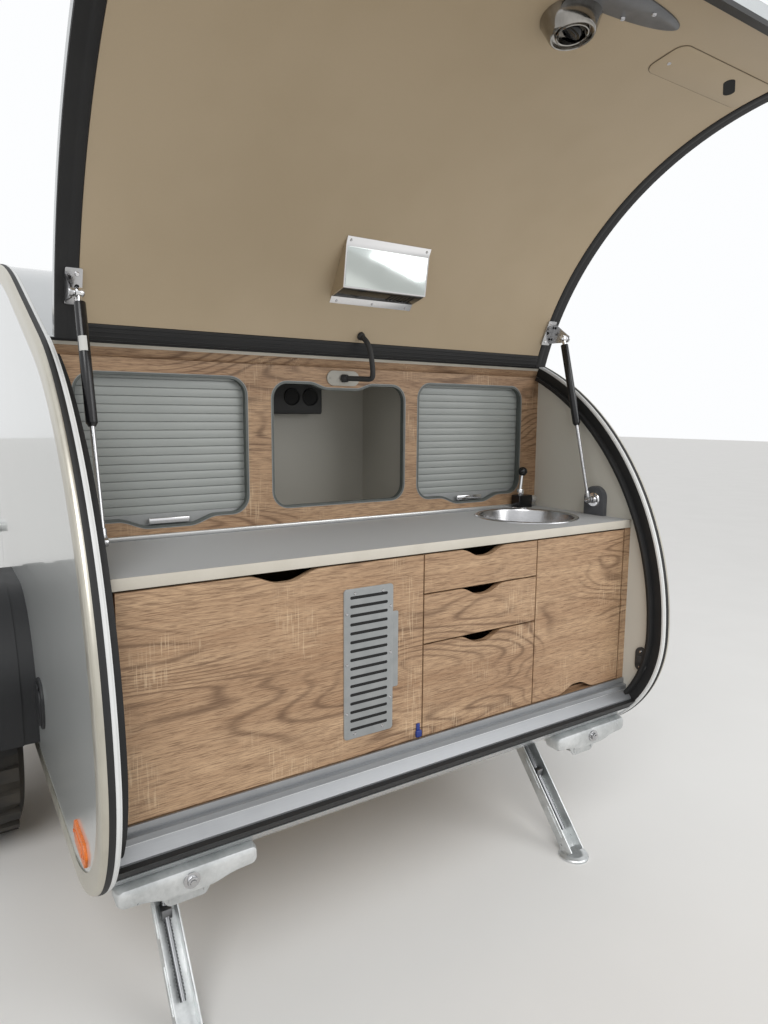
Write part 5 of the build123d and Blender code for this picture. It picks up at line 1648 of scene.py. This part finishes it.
@dataclass
class Sides:
    """Markers, covers, door frames and handles on the side walls."""

    door: tuple[float, float] = (0.370, 1.190)
    marker: tuple[float, float] = (-1.452, 0.464)
    inlet: tuple[float, float] = (-0.905, 0.558)
    catch: tuple[float, float] = (-1.636, 0.617)

    def build(self) -> None:
        """Makes the fine pieces of both walls."""
        frame = wall_frame(self.marker)
        corners = [(-0.065, 0.0), (-0.050, -0.026), (0.050, -0.026), (0.065, 0.0), (0.050, 0.026),
                   (-0.050, 0.026)]
        lamp = Form().plate(corners, 0.006, frame, 0.004, 0.002)
        inner = [(x * 0.62, y * 0.55) for x, y in corners]
        lamp.plate(inner, 0.0020, nudge(frame, 0, 0, 0.0058), 0.003, 0.0012)
        lamp.drum((0.053, 0, 0.0056), (0.053, 0, 0.0074), 0.004, None, 12, 0, frame)
        lamp.drum((-0.053, 0, 0.0056), (-0.053, 0, 0.0074), 0.004, None, 12, 0, frame)
        twin = lamp.mirrored()
        lamp.piece("marker_left", BODY, ORANGE, "marker", ["side_markers"])
        twin.piece("marker_right", BODY, ORANGE, "marker")
        x, z = self.door
        ring = Form().turned(((0.0, 0.176), (0.0, 0.196), (0.006, 0.194), (0.009, 0.186), (0.006, 0.178)),
                             (x, HALF_WIDTH, z), (0, 1, 0), 72)
        pair(ring, "window_ring", "door_{side}", BLACK, "black_plastic")
        at = wall_frame(self.inlet)
        inlet = Form().plate(rounded(0.120, 0.128, 0.046), 0.0070, at, 0.0, 0.0025)
        inlet.plate(rounded(0.092, 0.098, 0.034), 0.0040, nudge(at, 0, -0.004, 0.0068), 0.0, 0.0018)
        inlet.box((-0.026, 0.044, 0.0065), (0.026, 0.053, 0.0125), 0.0025, 3, at)
        inlet.box((-0.012, -0.058, 0.0065), (0.012, -0.050, 0.0115), 0.0020, 3, at)
        inlet.piece("inlet_cover", BODY, GRAINED, "black_plastic", ["wall_fittings"])
        catch_at = inner_frame(self.catch)
        catch = Form().plate(rounded(0.036, 0.070, 0.017), 0.0080, catch_at, 0.0, 0.0022)
        catch.box((-0.010, -0.012, 0.0075), (0.010, 0.012, 0.0130), 0.0030, 3, catch_at)
        pair(catch, "wall_catch", BODY, BLACK, "black_plastic")
        heads = Form()
        for height in (0.023, -0.023):
            screw(heads, nudge(catch_at, 0.0, height, 0.0080), 0.0042)
        pair(heads, "catch_screw", BODY, STEEL, "bright_steel")


@dataclass
class Bed:
    """Mattress on the cabin's floor."""

    low: tuple[float, float, float] = (-1.150, -0.716, 0.386)
    high: tuple[float, float, float] = (0.774, 0.716, 0.494)

    def build(self) -> None:
        """Makes the crowned mattress with its sewn channels and pulled-in sides."""
        form = Form().box(self.low, self.high)
        mesh = form.mesh
        middle = (Vector(self.low) + Vector(self.high)) / 2
        half = (Vector(self.high) - Vector(self.low)) / 2
        for axis, cuts in ((0, 47), (1, 35), (2, 5)):
            edges = [edge for edge in mesh.edges
                     if abs((edge.verts[0].co - edge.verts[1].co).normalized()[axis]) > 0.9]
            bmesh.ops.subdivide_edges(mesh, edges=edges, cuts=cuts, use_grid_fill=True)
        for vert in mesh.verts:
            u, v, w = ((vert.co[axis] - middle[axis]) / half[axis] for axis in range(3))
            soft = (1 - u**8) * (1 - v**8)
            sewn = 0.5 + 0.5 * math.cos(math.tau * 6 * u) * math.cos(math.tau * 4 * v)
            if w > 0:
                vert.co.z += w * soft * (0.010 * (1 - u * u) * (1 - v * v) + 0.005 * sewn) - w * 0.004
            vert.co.x -= math.copysign(0.010 * abs(u)**6 * (1 - v * v) * (1 - w * w), u)
            vert.co.y -= math.copysign(0.010 * abs(v)**6 * (1 - u * u) * (1 - w * w), v)
            vert.co.x -= math.copysign(0.022 * abs(u)**10 * w * w, u)
            vert.co.y -= math.copysign(0.022 * abs(v)**10 * w * w, v)
        bed = form.piece("mattress_cover", BODY, TICKING, "fabric", ["mattress"], 60.0)


@dataclass
class Stage:
    """Pale floor, soft lamps, plain sky and the camera."""

    ambient: float = 0.55
    gloss: float = 0.92
    white: float = 1.0

    def floor(self) -> None:
        """Makes the floor."""
        form = Form()
        bmesh.ops.create_grid(form.mesh, x_segments=1, y_segments=1, size=40.0)
        mesh = bpy.data.meshes.new("floor")
        form.mesh.to_mesh(mesh)
        form.mesh.free()
        mesh.materials.append(Skin("floor_paint", (0.80, 0.79, 0.77), (0.78, 0.77, 0.75), 0.8).material())
        thing = bpy.data.objects.new("floor", mesh)
        bpy.context.scene.collection.objects.link(thing)

    def sky(self) -> None:
        """Makes the world: white where the camera or a gloss sees it, softer as light."""
        world = bpy.data.worlds.new("sky")
        bpy.context.scene.world = world
        world.use_nodes = True
        kit = Nodes(world.node_tree)
        path = kit.node("ShaderNodeLightPath")
        through = Signal(kit, path.outputs["Is Transmission Ray"])
        seen = Signal(kit, path.outputs["Is Camera Ray"]).larger(through)
        glossy = Signal(kit, path.outputs["Is Glossy Ray"])
        strength = self.ambient + seen * (self.white - self.ambient) + glossy * (self.gloss - self.ambient)
        background = kit.node("ShaderNodeBackground", None,
                              {"Color": (0.98, 0.99, 1.0), "Strength": strength})
        kit.node("ShaderNodeOutputWorld", None, {"Surface": Signal(kit, background.outputs[0])})

    def lamp(self, name: str, place: Triple, target: Triple, size: float, watts: float) -> None:
        """Makes one square soft lamp.

        Args:
            name: The lamp's name.
            place: Where it hangs.
            target: Where it points.
            size: Length of its side.
            watts: Its power.
        """
        data = bpy.data.lights.new(name, "AREA")
        data.size = size
        data.energy = watts
        thing = bpy.data.objects.new(name, data)
        thing.location = place
        aim = Vector(target) - Vector(place)
        thing.rotation_euler = aim.to_track_quat("-Z", "Y").to_euler()
        bpy.context.scene.collection.objects.link(thing)

    def sun(self, way: Triple, strength: float, spread: float) -> None:
        """Makes the broad soft key light, even over the whole floor.

        Args:
            way: Direction that it comes from.
            strength: Its strength in watts a square metre.
            spread: Angle that it covers in degrees.
        """
        data = bpy.data.lights.new("key", "SUN")
        data.energy = strength
        data.angle = math.radians(spread)
        thing = bpy.data.objects.new("key", data)
        thing.location = way
        thing.rotation_euler = (Vector(way) * -1).to_track_quat("-Z", "Y").to_euler()
        bpy.context.scene.collection.objects.link(thing)

    def camera(self) -> None:
        """Sets the camera where the photograph was taken."""
        yaw, pitch, roll = -0.57731235, 0.13708382, -0.00675422
        ahead = Vector((math.cos(pitch) * math.cos(yaw), math.cos(pitch) * math.sin(yaw), -math.sin(pitch)))
        right = Vector((math.sin(yaw), -math.cos(yaw), 0.0))
        down = ahead.cross(right)
        x_axis = right * math.cos(roll) + down * math.sin(roll)
        y_axis = right * math.sin(roll) - down * math.cos(roll)
        matrix = Matrix((x_axis, y_axis, -ahead)).transposed().to_4x4()
        matrix.translation = (-2.85, 0.957, 1.31)
        data = bpy.data.cameras.new("camera")
        data.sensor_fit = "HORIZONTAL"
        data.sensor_width = 36.0
        data.lens = 693.65 / 768.0 * 36.0
        data.clip_end = 200.0
        thing = bpy.data.objects.new("camera", data)
        thing.matrix_world = matrix
        bpy.context.scene.collection.objects.link(thing)
        bpy.context.scene.camera = thing

    def build(self) -> None:
        """Makes the whole stage."""
        bpy.context.scene.view_settings.view_transform = "Standard"
        self.floor()
        self.sky()
        self.sun((-5.5, 4.0, 6.5), 1.25, 34.0)
        self.lamp("fill", (-5.0, -2.5, 3.0), (-1.2, 0.0, 0.9), 3.0, 70.0)
        self.camera()


class Frame:
    """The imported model's own nodes, given their finishes."""

    finishes: dict[str, Finish] = {
        "wall": WALL_BOARD, "side_door": WALL_BOARD, "door_window": PANE, "strut_tube": BLACK_METAL,
        "strut_rod": ROD, "tyre": TREAD, "rim": BLACK_METAL, "fender": GRAINED, "steady_leg": ZINC,
        "body_skin": ENAMEL, "floor_deck": PLY, "sill": SATIN, "opening_seals": RUBBER,
        "edge_trims": SATIN, "hatch_lamps": RED, "hatch_brackets": CHROME, "wall_brackets": DARK_PLATE,
        "drawer": OAK, "flap_right": OAK, "lower_cabinet": OAK, "worktop": TOP, "back_panel": OAK,
        "upper_cabinet": PALE_BOARD, "axle": ZINC, "chassis": ZINC, "coupling_head": STEEL,
        "handbrake": BLACK_METAL, "jockey_tube": ZINC, "jockey_fork": ZINC, "jockey_wheel": RUBBER,
        "steady_mounts": ZINC, "wall_fittings": BLACK, "mattress": TICKING, "vent_base": BLACK,
        "vent_lid": SMOKED,
    }

    def dress(self, nodes: dict[str, bpy.types.Object]) -> None:
        """Gives each node its finish and smooth shading.

        Args:
            nodes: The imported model's nodes by name.
        """
        for name, node in nodes.items():
            key = max((k for k in self.finishes if name.startswith(k)), key=len, default=None)
            finish = self.finishes[key] if key else BLACK
            node.data.materials.clear()
            node.data.materials.append(finish.material())
            node.data.shade_smooth()
            weld = node.modifiers.new("weld", "WELD")
            weld.merge_threshold = 0.00002
            split = node.modifiers.new("edges", "EDGE_SPLIT")
            split.split_angle = math.radians(28)
            LOG.info("node %s gets %s", name, finish.name)


def main() -> None:
    """Builds the scene in order."""
    logging.basicConfig(level=logging.INFO, format="%(message)s")
    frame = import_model()
    Frame().dress(frame["nodes"])
    for part in (EdgeProfiles(), Hatch(), Struts(), Galley(), Conduit(), Steadies(), Sides(), Bed(), Stage()):
        part.build()


if __name__ == "__main__":
    main()
